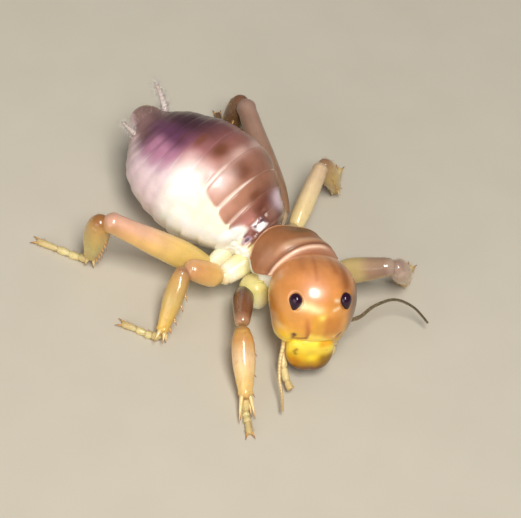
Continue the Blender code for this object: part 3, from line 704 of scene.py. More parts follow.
def fold_tint(tint, place, degrees, away, points):
    """Crumpled skin, pale flap and mauve patches of the waist, with painted glints and painted shade."""
    flap = spot(place, 4.25, 0.48, degrees, 32, 20)
    crumple = band(place, 4.24, 4.12, 3.66, 3.78) * band(away, 37, 43, 66, 58)
    return painted(
        tint,
        ((150, 110, 94), 0.8 * band(place, 3.7, 3.5, 1.4, 2) * smooth(70, 50, away)),
        # Darker brown low on the left of the waist: partly membrane colour, partly painted shade in the gap.
        ((94, 62, 48), 0.8 * hump(place, 2.8, 0.6) * band(degrees, -5, 25, 110, 80)),
        ((196, 134, 122), 0.75 * hump(place, 4.35, 0.3) * band(away, 42, 52, 84, 70)),
        ((110, 56, 40), 0.85 * spot(place, 4.42, 0.22, away, 30, 13)),
        ((160, 118, 102), 0.8 * spot(place, 4, 0.3, degrees, 2, 12)),
        ((224, 198, 206), 0.9 * smooth(0, 0.9, flap)),
        ((150, 118, 120), 0.8 * crumple),
        # Painted shade in the crumples, then painted glints on them.
        ((78, 60, 70), 0.8 * crumple * smooth(0.5, 1.1, ripple(points, 0.4, 13))),
        ((252, 246, 244), 0.95 * crumple * smooth(0.1, 0.6, ripple(points, 0.3, 9))),
        # Mauve patch between the pale lobe and the saddle: partly its own colour, partly painted shade.
        ((184, 154, 168), 0.9 * smooth(0.25, 0.7, spot(place, 3.84, 0.24, away, 86, 13))),
        ((92, 68, 86), 0.9 * smooth(0.3, 0.8, spot(place, 3.88, 0.1, away, 83, 7))),
        # Painted highlight: a pink glint line.
        ((255, 222, 222), 0.9 * smooth(0.3, 0.8, spot(place, 3.76, 0.06, away, 91, 8))),
        ((156, 112, 84), 0.8 * smooth(0.3, 0.8, spot(place, 3.4, 0.22, away, 84, 14))),
    )


def trunk_tint(place, degrees, away, points):
    """Bands, spots, pale seams and cream sides, with painted highlights, a whitened underside and painted
    shade.
    """
    plate, share, edge, reach = plate_field(place, away)
    back = painted(
        shades(PLATE_TINTS, place),
        (shades(BACK_TINTS, place), 0.9 * smooth(54, 16, away)),
        ((102, 60, 88), 0.7 * band(place, 7.3, 7.9, 10, 9.3) * band(away, 18, 38, 66, 50)),
        ((190, 132, 156), 0.85 * band(place, 7.2, 7.6, 9.3, 8.6) * smooth(42, 60, away)),
        # Paler sides of the rear plates: partly their own paler colour, partly painted highlight.
        ((246, 214, 206), 0.75 * smooth(36, 54, away) * band(place, 6.15, 6.5, 7.6, 7)),
        ((232, 178, 160), 0.3 * smooth(48, 64, away) * band(place, 4.9, 5.2, 6.2, 6)),
    )
    back = back * (1 + 0.1 * (share - 0.5) * smooth(4.5, 4.8, place))[..., None]
    for station, angle, size, weight in SPOTS:
        mark = spot(place, station, size * 1.25, away, angle, 11)
        back = painted(back, (SPOT, weight * smooth(0.05, 0.95, mark)))
    seam_half = 0.022 + 0.036 * smooth(15, 60, away)
    seam = 1 - smooth(seam_half * 0.5, seam_half * 1.8, edge)
    side = painted(
        shades(SIDE_TINTS, place),
        # Painted light: the underside is whitened where it faces away from the lamps.
        ((255, 255, 246), 0.85 * smooth(88, 108, away) * smooth(7.4, 6, place)),
        ((182, 142, 164), 0.75 * band(place, 7.3, 7.8, 9.6, 9) * smooth(92, 70, away)),
        # Painted highlight: a broad white flash on the swollen side.
        ((255, 255, 252), 0.9 * spot(place, 6.65, 0.5, away, 62, 13)),
        ((226, 196, 204), 0.55 * smooth(0.26, 0.02, edge) * smooth(7.1, 7.6, place) * smooth(124, 98, away)),
        ((232, 214, 170), 0.25 * seam * smooth(112, 126, away)),
    )
    strength = np.interp(place, (4.5, 4.82, 5.2, 6.3, 6.6), (0, 0.6, 1, 1, 0))
    start = np.interp(place, (4.82, 5.43, 6.16), (38, 12, 26))
    pale = seam * plate * strength * (0.1 + 0.9 * smooth(start, start + 20, away))
    tint = painted(
        side,
        (back, plate),
        (SEAM, 0.9 * pale),
        ((222, 184, 172), 0.75 * spot(place, 6.2, 0.14, away, 16, 16)),
        ((250, 224, 218), 0.7 * spot(place, 5.92, 0.28, away, 50, 14)),
        ((176, 116, 124), 0.3 * seam * plate * band(place, 6.7, 6.9, 7.4, 7.2)),
        ((80, 44, 62), 0.3 * seam * plate * band(place, 7.3, 7.8, 10.5, 9.5)),
    )
    bulge = bulge_field(place, away)
    rim = hump(away, reach + 2, 2.4) * band(place, 4.8, 5, 6.6, 6.2)
    tint = painted(
        fold_tint(tint, place, degrees, away, points),
        # Painted shade in the crease round the pale lobe.
        ((206, 180, 172), 0.5 * hump(bulge, 1, 0.14) * smooth(96, 78, away) * smooth(4.3, 4.6, place)),
        # The pale lobe: partly its own white, partly painted highlight.
        ((255, 253, 244), 0.95 * smooth(1.05, 0.7, bulge)),
        ((255, 238, 222), 0.7 * rim),
    )
    return mottled(tint, points, (0.03, 1.6, 3), (0.02, 0.5, 5))


def build_trunk():
    """One skin from neck to tail."""
    place = np.interp(np.linspace(0, 1, TRUNK_ROWS), (0, 0.2, 1), (0, 3.5, TRUNK_END))
    place = place[:, None] * np.ones(TRUNK_COLUMNS)
    turn = np.linspace(-math.pi, math.pi, TRUNK_COLUMNS, endpoint=False) * np.ones((TRUNK_ROWS, 1))
    degrees = np.degrees(turn)
    away = np.abs((degrees - MIDLINE + 180) % 360 - 180)
    lift = trunk_lift(place, away) - thorax_sink(place, degrees)
    lift += 0.32 * smooth(1.15, 0, bulge_field(place, away))
    lift += 0.14 * spot(place, 4.27, 0.3, degrees, 29, 16)
    folds = hump(place, 2, 0.35) + hump(place, 1.1, 0.3) + hump(place, 3.2, 0.3)
    lift += 0.25 * folds * hump(away, 118, 18)
    size = capped(place, 11.5, TRUNK_END, 0.0004)
    points = trunk_points(place, turn, lift * size, size)
    waist = band(place, 4.5, 4.25, 2.2, 3) * smooth(20, 34, away)
    uneven = 0.01 * ripple(points, 0.9, 11) + 0.04 * waist * ripple(points, 0.35, 12)
    points = points + grid_facing(points) * uneven[..., None]
    skin = kept_skin("trunk", points, trunk_tint(place, degrees, away, points))
    join_piece("trunk_skin", [skin], "skin", "abdomen",
               "prothorax", "mesothorax", "metathorax", "abdomen", "abdomen_tip")


def shell_sheet(outer, inner, tint):
    """A closed sheet between an outer and an inner grid of points."""
    rows, columns = outer.shape[:2]
    size = rows * columns
    corners = np.vstack([outer.reshape(-1, 3), inner.reshape(-1, 3)])
    colours = np.vstack([tint.reshape(-1, 3), tint.reshape(-1, 3)])
    index = np.arange(size).reshape(rows, columns)
    faces = []
    for quad in quads_of(index).tolist():
        faces.append(quad)
        faces.append([corner + size for corner in quad[::-1]])
    border = np.concatenate((index[0], index[1:, -1], index[-1, -2::-1], index[-2:0:-1, 0])).tolist()
    for here, there in zip(border, border[1:] + border[:1]):
        faces.append([there, here, here + size, there + size])
    return corners, faces, colours


def build_pronotum():
    """The saddle over the first thorax segment, with a rolled rim in front and behind."""
    share = np.linspace(0, 1, PRONOTUM_ROWS)[:, None] * np.ones(PRONOTUM_COLUMNS)
    side = np.ones((PRONOTUM_ROWS, 1)) * np.linspace(-1, 1, PRONOTUM_COLUMNS)
    reach = math.radians(PRONOTUM_REACH) * (0.86 + 0.14 * np.sin(math.pi * share))
    turn = reach * side
    degrees = np.degrees(turn)
    rear_end = np.interp(degrees, *zip(*PRONOTUM_REAR))
    place = PRONOTUM_FRONT + (rear_end - PRONOTUM_FRONT) * share
    mark = place - 0.22 * smooth(-45, 20, degrees)
    fold = place - 0.04 * smooth(-45, 20, degrees)
    low_side = smooth(-40, 20, degrees) * smooth(0.35, 0.9, place)
    thick = PRONOTUM_THICK * (0.75 + 0.25 * np.sin(math.pi * share)) * (1 - 0.4 * low_side)
    collar = 0.1 * smooth(0.48, 0.4, fold) - 0.07 * hump(fold, 0.52, 0.05) + 0.03 * hump(fold, 0.7, 0.12)
    rear = 0.07 * smooth(0.92, 0.96, share) - 0.04 * hump(share, 0.9, 0.03)
    edge = 0.06 * smooth(0.9, 0.95, np.abs(side))
    round_off = capped(np.abs(side), 0.96, 1)
    round_off *= capped(share, 0.05, 0)
    round_off *= capped(share, 0.95, 1)
    sink = thorax_sink(place, degrees)
    height = 0.1 - sink + (thick + GAP - 0.1 + collar + rear + edge) * np.maximum(round_off, 0.08)
    outer = trunk_points(place, turn, height)
    outer += 0.008 * ripple(outer, 0.9, 21)[..., None] * unit(outer - trunk_frame(place)[0])
    inner = trunk_points(place, turn, 0.05 - sink)
    tint = painted(
        np.broadcast_to(srgb((160, 104, 64)), outer.shape),
        # Olive-brown at the rear of the left side: partly its own colour, partly painted shade.
        ((122, 90, 52), 0.85 * smooth(-15, 10, degrees) * smooth(0.88, 1.02, mark)),
        ((160, 100, 68), 0.6 * smooth(-45, -60, degrees) * smooth(0.9, 1.2, mark)),
        ((208, 162, 128), 0.9 * hump(fold, 0.7, 0.12) * smooth(-55, -20, degrees)),
        ((164, 116, 86), 0.8 * spot(degrees, -48, 14, mark, 1, 0.35)),
        ((184, 134, 106), 0.9 * smooth(0.5, 0.42, fold)),
        # The front rim, brightest on the right side: partly its own pale colour, partly painted highlight.
        ((250, 214, 186), 0.85 * hump(fold, 0.33, 0.05) * smooth(50, 20, degrees)),
        ((132, 88, 64), 0.85 * hump(fold, 0.52, 0.045)),
        ((244, 196, 160), 0.8 * smooth(0.955, 0.985, np.abs(side))),
        ((240, 190, 152), 0.75 * smooth(0.93, 0.97, share)),
    )
    tint = mottled(tint, outer, (0.035, 1, 23), (0.02, 0.4, 24))
    join_piece("pronotum_shell", [shell_sheet(outer, inner, tint)], "plate", "pronotum", "pronotum")


# Head


def turned():
    """Turn and tilt of the head as a matrix."""
    turn = Matrix.Rotation(math.radians(HEAD_YAW), 3, "Z")
    return np.array(turn @ Matrix.Rotation(math.radians(HEAD_PITCH), 3, "X"))


def from_head(points):
    """Points of the head's frame in the common frame."""
    return points @ turned().T + HEAD_AT


def eye_outline(across, upward):
    """Distance from an eye's teardrop, about 1 on its edge, from its middle."""
    narrow = 1 + 0.55 * smooth(0.1, -1, upward / EYE_LENS[2])
    return np.sqrt((across / EYE_LENS[0] * narrow) ** 2 + (upward / EYE_LENS[2]) ** 2)


def head_marks(x, z):
    """Distances from the lines of the face."""
    right = near_line(x, z, ((-1.95, -1.35), (-1.92, -1.8), (-1.41, -1.76), (-0.95, -1.65)))
    rise = near_line(x, z, ((-0.83, -1.6), (-0.96, -0.65), (-1.16, 0.33)))
    left = near_line(x, z, ((1.68, -1.62), (1.98, -1.36)))
    return right, rise, left


def head_lift(x, y, z):
    """Relief of the head: sutures, clypeus, right cheek and eye sockets."""
    face = smooth(-0.8, -2, y)
    right, rise, left = head_marks(x, z)
    lift = -0.09 * hump(right, 0, 0.13) * face - 0.025 * hump(rise, 0, 0.16) * face
    lift -= 0.05 * hump(left, 0, 0.14) * face
    lift -= 0.16 * smooth(-1.85, -2.2, z) * smooth(2.3, 1.7, np.abs(x)) * face
    lift += 0.05 * spot(x, -0.2, 0.7, z, -0.5, 0.9) * face
    lift += 0.32 * spot(x, -2.6, 0.7, z, -1.9, 0.7) * smooth(1.5, -0.5, y)
    for sign in (1, -1):
        ring = eye_outline(x - sign * EYE_AT[0], z - EYE_AT[2])
        lift += (0.01 * hump(ring, 1.25, 0.2) - 0.12 * smooth(1.05, 0.75, ring)) * face
    return lift


def head_tint(x, y, z, points):
    """Amber crown, paler cheeks, yellow lower face and brown sutures, with painted highlights and painted
    shade.
    """
    face = smooth(-0.8, -2, y)
    right, rise, left = head_marks(x, z)
    crown = [(code, weight * hump(near_line(x, y, line), 0, wide) * smooth(2, 2.8, z))
             for line, wide, code, weight in CROWN_STREAKS]
    frons = near_line(x, z, ((-1.55, 1.5), (-1, 1.45), (-0.2, 1.1)))
    stripe = band(x, -0.95, -0.5, 0.5, 0.05) * smooth(1.2, 0.4, z)
    dark = band(x, 0.1, 0.7, 2.1, 1.5) * band(z, 0.9, 0.2, -1.5, -0.9)
    glints = [((255, 222, 178), 0.7 * hump(near_line(x, z, line), 0, 0.15) * face)
              for line in (((1.15, 1.95), (1.45, 1.87)), ((1.05, 1.18), (1.36, 1.3)))]
    edge = np.interp(x, (-2.1, -1.9, -0.9, -0.7, 0.3, 1.4, 2.2),
                     (-2.4, -1.9, -1.75, -1, -1.3, -2.2, -3))
    short = near_line(x, z, ((1.3, -1.5), (1.6, -1.5)))
    pit = np.sqrt((x + 1.89) ** 2 + (z + 1.37) ** 2)
    rings = [eye_outline(x - sign * EYE_AT[0], z - EYE_AT[2]) for sign in (1, -1)]
    tint = painted(
        shades(HEAD_TINTS, z),
        # Painted shade: the left cheek is darkened to brown.
        ((92, 50, 22), 0.9 * smooth(2, 3, x) * smooth(2.9, 1.5, z)),
        ((200, 128, 50), 0.6 * smooth(-2.7, -3.4, x)),
        # Darker towards the back of the head: partly its own colour, partly painted shade.
        ((170, 108, 58), 0.6 * smooth(1.6, 3.2, y)),
        *crown,
        # Painted highlight: a pinkish halo round the forehead's flash.
        ((244, 178, 146), 0.6 * spot(x, -0.62, 0.85, z, 2.7, 0.8) * face),
        ((255, 232, 172), 0.95 * hump(frons, 0, 0.42) * face),
        ((240, 180, 88), 0.5 * spot(x, 0.2, 0.7, z, 1, 0.4) * face),
        ((226, 158, 26), 0.85 * stripe * face),
        ((255, 226, 100), 0.85 * spot(x, 0.07, 0.3, z, 0.55, 0.28) * face),
        ((208, 126, 4), 0.95 * dark * face),
        *glints,
        ((180, 96, 16), 0.9 * hump(rise, 0, 0.24) * smooth(1, -0.8, z) * face),
        # Painted highlight: a pale band on the right cheek.
        ((252, 206, 140), 0.7 * spot(x, -2.87, 0.35, z, -0.98, 0.3) * smooth(0, -1.5, y)),
        ((255, 212, 44), 0.95 * spot(x, -2.3, 0.75, z, -2, 0.75) * smooth(1, -0.8, y)),
        ((176, 112, 20), 0.7 * spot(x, 1.9, 0.45, z, -1.9, 0.5) * face),
        ((252, 216, 70), 0.95 * smooth(0.25, -0.35, z - edge) * smooth(2.6, 2, np.abs(x)) * face),
        ((136, 74, 18), 0.9 * hump(right, 0, 0.13) * face),
        # Painted glint: a short pale stroke beside the left pit.
        ((250, 200, 124), 0.7 * hump(short, 0, 0.1) * face),
        ((110, 62, 18), 0.85 * hump(left, 0, 0.13) * face),
        ((60, 32, 12), 0.95 * hump(pit, 0, 0.17) * face),
        *(((60, 30, 40), smooth(0.8, 0.6, ring) * face) for ring in rings),
    )
    return mottled(tint, points, (0.025, 1.2, 31), (0.015, 0.4, 32))


def build_head():
    """Head capsule."""
    directions, faces = ball(BALL_FINE["head"])
    points, facing = rounded(directions, HEAD_HALF, HEAD_ROUND)
    points[:, :2] *= 1 + HEAD_TAPER * points[:, 2:] / HEAD_HALF[2]
    x, y, z = points.T
    lift = head_lift(x, y, z) + 0.003 * ripple(points, 0.8, 33)
    tint = head_tint(x, y, z, points)
    points = points + facing * lift[:, None]
    low = points[:, 2] - HEAD_CHIN
    points[:, 2] = HEAD_CHIN + 0.5 * (low + np.sqrt(low ** 2 + CHIN_SOFT ** 2)) - 0.5 * CHIN_SOFT * (low < 1)
    join_piece("head_shell", [(from_head(points), faces, tint)], "shell", "head_capsule", "head")


def build_eyes():
    """Teardrop eyes, round above and pointed below, that look outward."""
    directions, faces = ball(BALL_FINE["eye"])
    for side, sign in zip(SIDES, (1, -1)):
        points, _ = rounded(directions, EYE_LENS, 2)
        height = points[:, 2] / EYE_LENS[2]
        points[:, 0] /= 1 + 0.7 * smooth(0.1, -1, height)
        points[:, 2] *= np.where(height > 0, 0.8, 1.25)
        turn = sign * math.radians(EYE_TURN)
        x, y, z = points.T
        across = x * math.cos(turn) - y * math.sin(turn)
        out = x * math.sin(turn) + y * math.cos(turn)
        place = np.stack([across, out, z], axis=-1) + np.array((sign * EYE_AT[0], EYE_AT[1], EYE_AT[2]))
        tint = painted(
            np.broadcast_to(srgb((36, 8, 32)), points.shape),
            ((52, 18, 46), 0.5 * hump(z, 0.1, 0.4)),
            ((24, 10, 24), 0.5 * smooth(0, -0.8, z)),
        )
        join_piece("eye_bead_" + side, [(from_head(place), faces, tint)], "eye", "eyes", "eye_" + side)


def build_labrum():
    """Upper lip: a rounded shield with a dark lower edge, its top just under the lines of the face."""
    directions, faces = ball(BALL_FINE["labrum"])
    points, facing = rounded(directions, LABRUM_HALF, 2.3)
    points[:, 0] *= np.where(points[:, 0] > 0, 0.92, 1.02)
    x, y, z = points.T
    face = smooth(0.2, -0.4, y)
    tall = z + LABRUM_AT[2]
    lift = 0.05 * spot(z, -0.3, 0.5, np.abs(x), 0.8, 0.6) * face
    lift -= 0.07 * hump(x, 0, 0.3) * smooth(-0.6, -1.6, z)
    notch = near_line(x, tall, ((-1.45, -2.85), (-1.6, -3.15), (-1.45, -3.4)))
    lift -= 0.05 * hump(notch, 0, 0.12) * face
    tint = painted(
        shades(LABRUM_TINTS, tall),
        ((232, 168, 44), 0.85 * smooth(-2.75, -2.3, tall) * smooth(0.1, 0.6, x)),
        ((184, 116, 6), 0.85 * spot(x, -1.5, 0.6, tall, -4.1, 0.55)),
        # Painted highlight: a bright yellow spot on the lip.
        ((250, 222, 60), 0.8 * spot(x, -0.15, 0.4, tall, -3.7, 0.35)),
        ((136, 94, 12), 0.9 * smooth(0.15, 0.9, x) * smooth(-3.1, -3.8, tall)),
        ((140, 98, 20), 0.75 * hump(notch, 0, 0.13) * face),
        ((104, 60, 22), 0.75 * smooth(-4.4, -4.9, tall)),
    )
    tint = mottled(tint, points, (0.05, 0.5, 41))
    place = points + facing * lift[:, None] + np.array(LABRUM_AT)
    place[:, 1] -= 0.5 * smooth(-0.3, 1.1, z) * smooth(0.3, -0.3, y)
    join_piece("labrum_lip", [(from_head(place), faces, tint)], "lip", "labrum", "labrum")


def build_mandibles():
    """Strong jaws with dark toothed inner edges, mostly behind the upper lip."""
    directions, faces = ball(BALL_FINE["mandible"])
    for side, sign in zip(SIDES, (1, -1)):
        points, _ = rounded(directions, MANDIBLE_HALF, 2.2)
        x, _, z = points.T
        inner = smooth(0.2, -0.9, x * sign)
        teeth = 0.12 * np.abs(np.sin(z * 4.2 + 0.6)) * smooth(0.2, -0.6, z) * inner
        place = points + np.array((sign * MANDIBLE_AT[0], MANDIBLE_AT[1], MANDIBLE_AT[2]))
        place[:, 0] = sign * np.maximum(place[:, 0] * sign, 0.06 + teeth)
        place[:, 2] += 0.25 * smooth(-0.6, -1.3, z) * smooth(0, 1.2, x * sign)
        tint = painted(shades(MANDIBLE_TINTS, z), ((60, 20, 12), 0.8 * inner * smooth(0.4, -0.6, z)))
        tint = mottled(tint, points, (0.04, 0.4, 51))
        join_piece("mandible_jaw_" + side, [(from_head(place), faces, tint)], "shell", "mandibles",
                   "mandible_" + side)


def build_labium():
    """Lower lip with its lobes and two short palps."""
    directions, faces = ball(BALL_FINE["labium"])
    points, facing = rounded(directions, LABIUM_HALF, 2.2)
    x, _, z = points.T
    lift = -0.14 * hump(x, 0, 0.12) * smooth(0.3, -0.4, z) - 0.06 * hump(z, 0.1, 0.1)
    tint = mottled(shades(LABIUM_TINTS, z), points, (0.04, 0.3, 61))
    place = points + facing * lift[:, None] + np.array(LABIUM_AT)
    parts = [(from_head(place), faces, tint)]
    for sign in (1, -1):
        line = np.array(((sign * 0.8, 1.1, -4), (sign * 1.1, 0.9, -4.6), (sign * 1.05, 0.5, -5.1)))
        parts.append(jointed("labium", from_head(line), 3, 0.2, 0.17))
    join_piece("labium_lobes", parts, "soft", "soft_mouthparts", "labium")


# Feelers


def path_frames(line, count):
    """Points along a smooth line, sideways and upward directions, and the share of its length at each."""
    place = np.linspace(0, len(line) - 1, count)
    ahead = unit(curve(line, place + 0.05) - curve(line, place - 0.05))
    across = unit(np.cross(ahead, (0, 0, 1)))
    return curve(line, place), across, np.cross(across, ahead), np.linspace(0, 1, count)


def ring_marks(within, width):
    """Bells at both ends of each joint."""
    return hump(within, 0, width) + hump(within, 1, width)


def jointed(name, line, joints, root_half, tip_half):
    """A palp of club-shaped joints."""
    points, across, upward, share = path_frames(line, joints * JOINT_RINGS + 1)
    within = (share * joints) % 1
    within[-1] = 1
    half = root_half + (tip_half - root_half) * share
    club = JOINT_SWELL * np.sin(math.pi * (within * 0.85)) ** 0.8
    half = half * (1 - JOINT_SWELL * 0.6 + club + JOINT_SWELL * 0.3 * within)
    half = half * (1 - 0.25 * hump(within, 0, 0.06) - 0.25 * hump(within, 1, 0.05))
    grid, _ = tube(points, across, upward, half * capped(share, 0.965, 1, 0.002), PALP_SIDES)
    grid[..., 2] = np.maximum(grid[..., 2], 0.03)
    colours = painted(shades(PALP_TINTS, share), ((168, 132, 84), 0.35 * ring_marks(within, 0.07)))
    return kept_skin(name, grid, colours[:, None])


def build_palps():
    """Jaw palps of five joints."""
    for side in SIDES:
        skin = jointed("palp_" + side, np.array(PALPS[side]), 4, 0.3, 0.27)
        join_piece("palp_" + side, [skin], "soft", "soft_mouthparts", "maxillary_palp_" + side)


def build_antennae():
    """Beaded feelers with a stout first joint."""
    for side, beads in zip(SIDES, FEELER_BEADS):
        points, across, upward, share = path_frames(np.array(ANTENNAE[side]), beads * BEAD_RINGS + 1)
        within = (share * beads) % 1
        half = 0.17 * (1 - 0.45 * share ** 0.9)
        half = half * (1 + 0.1 * np.sin(math.pi * within) ** 0.7)
        half = half + 0.1 * smooth(0.15, 0.06, share) + 0.02 * hump(share, 0.18, 0.025)
        grid, _ = tube(points, across, upward, half * capped(share, 0.985, 1, 0.004), FEELER_SIDES)
        dark = 0.3 * ring_marks(within, 0.14) * smooth(0.15, 0.25, share)
        colours = painted(shades(FEELER_TINTS[side], share), ((96, 74, 50), dark))
        skin = kept_skin("antenna_" + side, grid, colours[:, None])
        join_piece("feeler_" + side, [skin], "limb", "antennae", "antenna_" + side)


def build_cerci():
    """Tapered, ringed tail feelers."""
    for side in SIDES:
        points, across, upward, share = path_frames(np.array(CERCI[side]), CERCUS_STEPS)
        within = (share * CERCUS_RINGS) % 1
        half = 0.42 * (1 - 0.78 * share ** 0.9) * (1 + 0.06 * np.sin(math.pi * within))
        grid, _ = tube(points, across, upward, half * capped(share, 0.97, 1, 0.004), CERCUS_SIDES)
        colours = painted(shades(CERCUS_TINTS, share), ((140, 116, 108), 0.25 * ring_marks(within, 0.12)))
        skin = kept_skin("cercus_" + side, grid, colours[:, None])
        join_piece("tail_feeler_" + side, [skin], "soft", "cerci", "cercus_" + side)


# Legs


def limb_grid(near, far, half, shape, side_way, tall, rings, sides, relief=None, squareness=2):
    """Rows of points round one part of a leg, with its places along and angles round."""
    ahead = unit(far - near)
    length = float(np.linalg.norm(far - near))
    upward = unit(np.cross(side_way, ahead))
    share = 0.5 - 0.5 * np.cos(math.pi * np.linspace(0, 1, rings))
    thick = half * curve(shape, share * (len(shape) - 1))[:, 0]
    room = np.minimum(share, 1 - share) * length
    ends = np.where(room < thick, np.sqrt(np.maximum(1 - (1 - room / thick) ** 2, 0.0006)), 1)
    turn = np.linspace(0, 2 * math.pi, sides, endpoint=False)
    radius = (thick * ends)[:, None] * np.ones(sides)
    if relief is not None:
        radius = radius + relief(share[:, None], turn[None]) * ends[:, None]
    wide = np.sign(np.sin(turn)) * np.abs(np.sin(turn)) ** (2 / squareness)
    high = np.sign(np.cos(turn)) * np.abs(np.cos(turn)) ** (2 / squareness)
    middle = near + ahead * (length * share)[:, None]
    points = middle[:, None] + side_way * (radius * wide)[..., None]
    points = points + upward * (radius * high * tall)[..., None]
    return points, share[:, None] * np.ones(sides), np.ones((rings, 1)) * turn


def streaks(share, turn, seed):
    """Uneven streaks that run along a limb."""
    draw = np.random.default_rng(seed)
    field = np.zeros(np.broadcast(share, turn).shape)
    for _ in range(STREAKS):
        waves = draw.integers(2, 9)
        field = field + np.sin(waves * turn + draw.uniform(0, 6.3) + draw.uniform(-3, 3) * share)
    return field / math.sqrt(STREAKS)


def leg_part(leg, part, *form):
    """Skin of a leg's hip joint, thigh or shin, with its colours along and round it."""
    number = PARTS.index(part)
    seed = LEG_SEED + 10 * list(LEGS).index(leg) + number
    points, share, turn = limb_grid(*form)
    tint = shades(LEG_TINTS[leg][number], share)
    up = grid_facing(points)[..., 2]
    if part == "thigh":
        top, weight = THIGH_TOPS[leg]
        tint = painted(
            tint,
            (top, weight * smooth(0.25, 0.85, up) * smooth(0.3, 0.75, share)),
            ((240, 200, 84), 0.45 * smooth(0.2, -0.6, up)),
        )
    if part == "shin":
        tint = painted(tint, ((126, 76, 46), 0.45 * hump(share, 0.02, 0.05)))
    uneven = 0.025 * streaks(share, turn, seed) + 0.02 * ripple(points, 0.9, seed)
    return kept_skin(leg + "_" + part, points, tint * (1 + uneven)[..., None])


def femur_relief(share, turn):
    """Keels along a thigh and a lobe on each side of the knee."""
    keel = 0.035 * (hump(np.cos(turn), 1, 0.08) + hump(np.cos(turn), -1, 0.1))
    lobes = 0.05 * hump(share, 0.95, 0.045) * hump(np.abs(np.sin(turn)), 1, 0.3)
    groove = -0.02 * hump(share, 0.885, 0.025) - 0.04 * hump(share, 0.06, 0.02)
    return keel * band(share, 0.1, 0.3, 1, 0.8) + lobes + groove


def tibia_relief(share, turn):
    """Four faint edges along a shin and a collar at its end."""
    edges = 0.03 * np.cos(4 * turn) * smooth(0.1, 0.3, share)
    collar = 0.07 * hump(share, 0.93, 0.03) - 0.05 * hump(share, 0.1, 0.03)
    return edges + collar


def coxa_relief(share, turn):
    """The groove between hip joint and its ring."""
    return -0.08 * hump(share, 0.82, 0.03) + 0.04 * hump(share, 0.9, 0.04)


def shin_spines(leg, knee, ankle, half, side_way, draw):
    """Spines in rows along a shin, each out of a small socket."""
    _, angles, count = PAIRS[leg.split("_")[0]]
    spine_long = LEG_SIZES[leg][5]
    ahead = unit(ankle - knee)
    upward = np.cross(side_way, ahead)
    parts = []
    for angle in angles:
        turn = math.radians(angle)
        out = upward * math.cos(turn) + side_way * math.sin(turn)
        for step in range(count):
            share = 0.34 + 0.54 * (step + draw.uniform(-0.12, 0.12)) / (count - 1)
            here = half * float(curve(TIBIA_SHAPE, share * (len(TIBIA_SHAPE) - 1))[0])
            root = knee + (ankle - knee) * share + out * (here - 0.12)
            long = spine_long * draw.uniform(0.85, 1.1)
            parts.append(cone(root, out + ahead * 1.1, long, 0.22, SPINE_TINTS, -0.12 * out))
            parts.append(cone(root - 0.02 * out, out + ahead * 0.35, 0.22, 0.34, SOCKET_TINTS,
                              rings=5, sides=12))
    return parts


def shin_spurs(leg, knee, ankle, toe, half, draw):
    """A crown of spurs at the end of a shin, turned away from the foot."""
    spur_long, spread = LEG_SIZES[leg][6:]
    ahead = unit(ankle - knee)
    away = ankle - toe
    away = unit(away - ahead * float(away @ ahead))
    parts = []
    for angle in SPUR_ANGLES:
        out = np.array(Matrix.Rotation(math.radians(angle), 3, Vector(ahead)) @ Vector(away))
        root = ankle - ahead * 0.6 + out * (0.3 * half)
        tip = root + unit(ahead + out * spread) * (spur_long * draw.uniform(0.85, 1.1))
        tip[2] = max(tip[2], 0.2)
        long = float(np.linalg.norm(tip - root))
        parts.append(cone(root, tip - root, long, 0.42, SPUR_TINTS, -0.06 * out, 9, 10))
    return parts


def build_foot(leg, ankle, toe, half):
    """A foot of four joints with pads below, and two hooked claws."""
    end = np.array((toe[0], toe[1], half - 0.06))
    heel = np.array((ankle[0], ankle[1], half - 0.06)) * 0.78 + end * 0.22
    line = np.array((ankle, heel, 0.5 * (heel + end), end))
    points, across, upward, share = path_frames(line, FOOT_STEPS)
    marks = np.array((0, 0.3, 0.48, 0.66, 1))
    number = np.clip(np.searchsorted(marks, share, side="right") - 1, 0, 3)
    within = (share - marks[number]) / (marks[number + 1] - marks[number])
    size = half * (1 - 0.22 * share) * (0.82 + 0.26 * np.sin(math.pi * within ** 1.5 * 0.9))
    size = size * (1 - 0.2 * hump(within, 0, 0.06)) * capped(share, 0.96, 1, 0.004)
    grid, turn = tube(points, across, upward, size, FOOT_SIDES)
    below = smooth(0.2, -0.8, np.cos(turn))[None]
    pad = hump(within, 0.72, 0.18) * smooth(0.12, 0.2, share) * (number < 3)
    grid = grid - upward[:, None] * (0.09 * pad[:, None] * below)[..., None]
    grid[..., 2] = np.maximum(grid[..., 2], 0)
    # The hind left foot takes the darker colours of painted shadow.
    colours = shades(SHADOWED_FOOT_TINTS if leg == "hind_left" else FOOT_TINTS, share)
    colours = painted(colours, ((150, 108, 70), 0.35 * hump(within, 0, 0.08)))
    parts = [kept_skin(leg + "_foot", grid, colours[:, None])]
    way = unit(end - heel)
    sideways = np.cross(way, (0, 0, 1))
    for sign in (1, -1):
        root = end - way * 0.3 + sideways * (sign * 0.09) + np.array((0, 0, 0.02))
        bend = np.array((0, 0, -0.22)) - 0.1 * sign * sideways
        claw = cone(root, way + sideways * (sign * 0.5) + np.array((0, 0, 0.16)), 0.9, 0.24, SPINE_TINTS,
                    bend, 11, 10)
        claw[0][:, 2] = np.maximum(claw[0][:, 2], 0)
        parts.append(claw)
    join_piece(leg + "_foot", parts, "soft", "tarsi", leg + "_tarsus")


def coxa_lobe(leg, side_way):
    """The lobe that hangs from a coxa, creamy above and yellow below."""
    top, bottom, half = COXA_LOBES[leg]
    points, share, _ = limb_grid(np.array(top), np.array(bottom), half, LOBE_SHAPE, side_way, 1, *HIP_GRID)
    return grid_skin(points, shades(LOBE_TINTS, share))


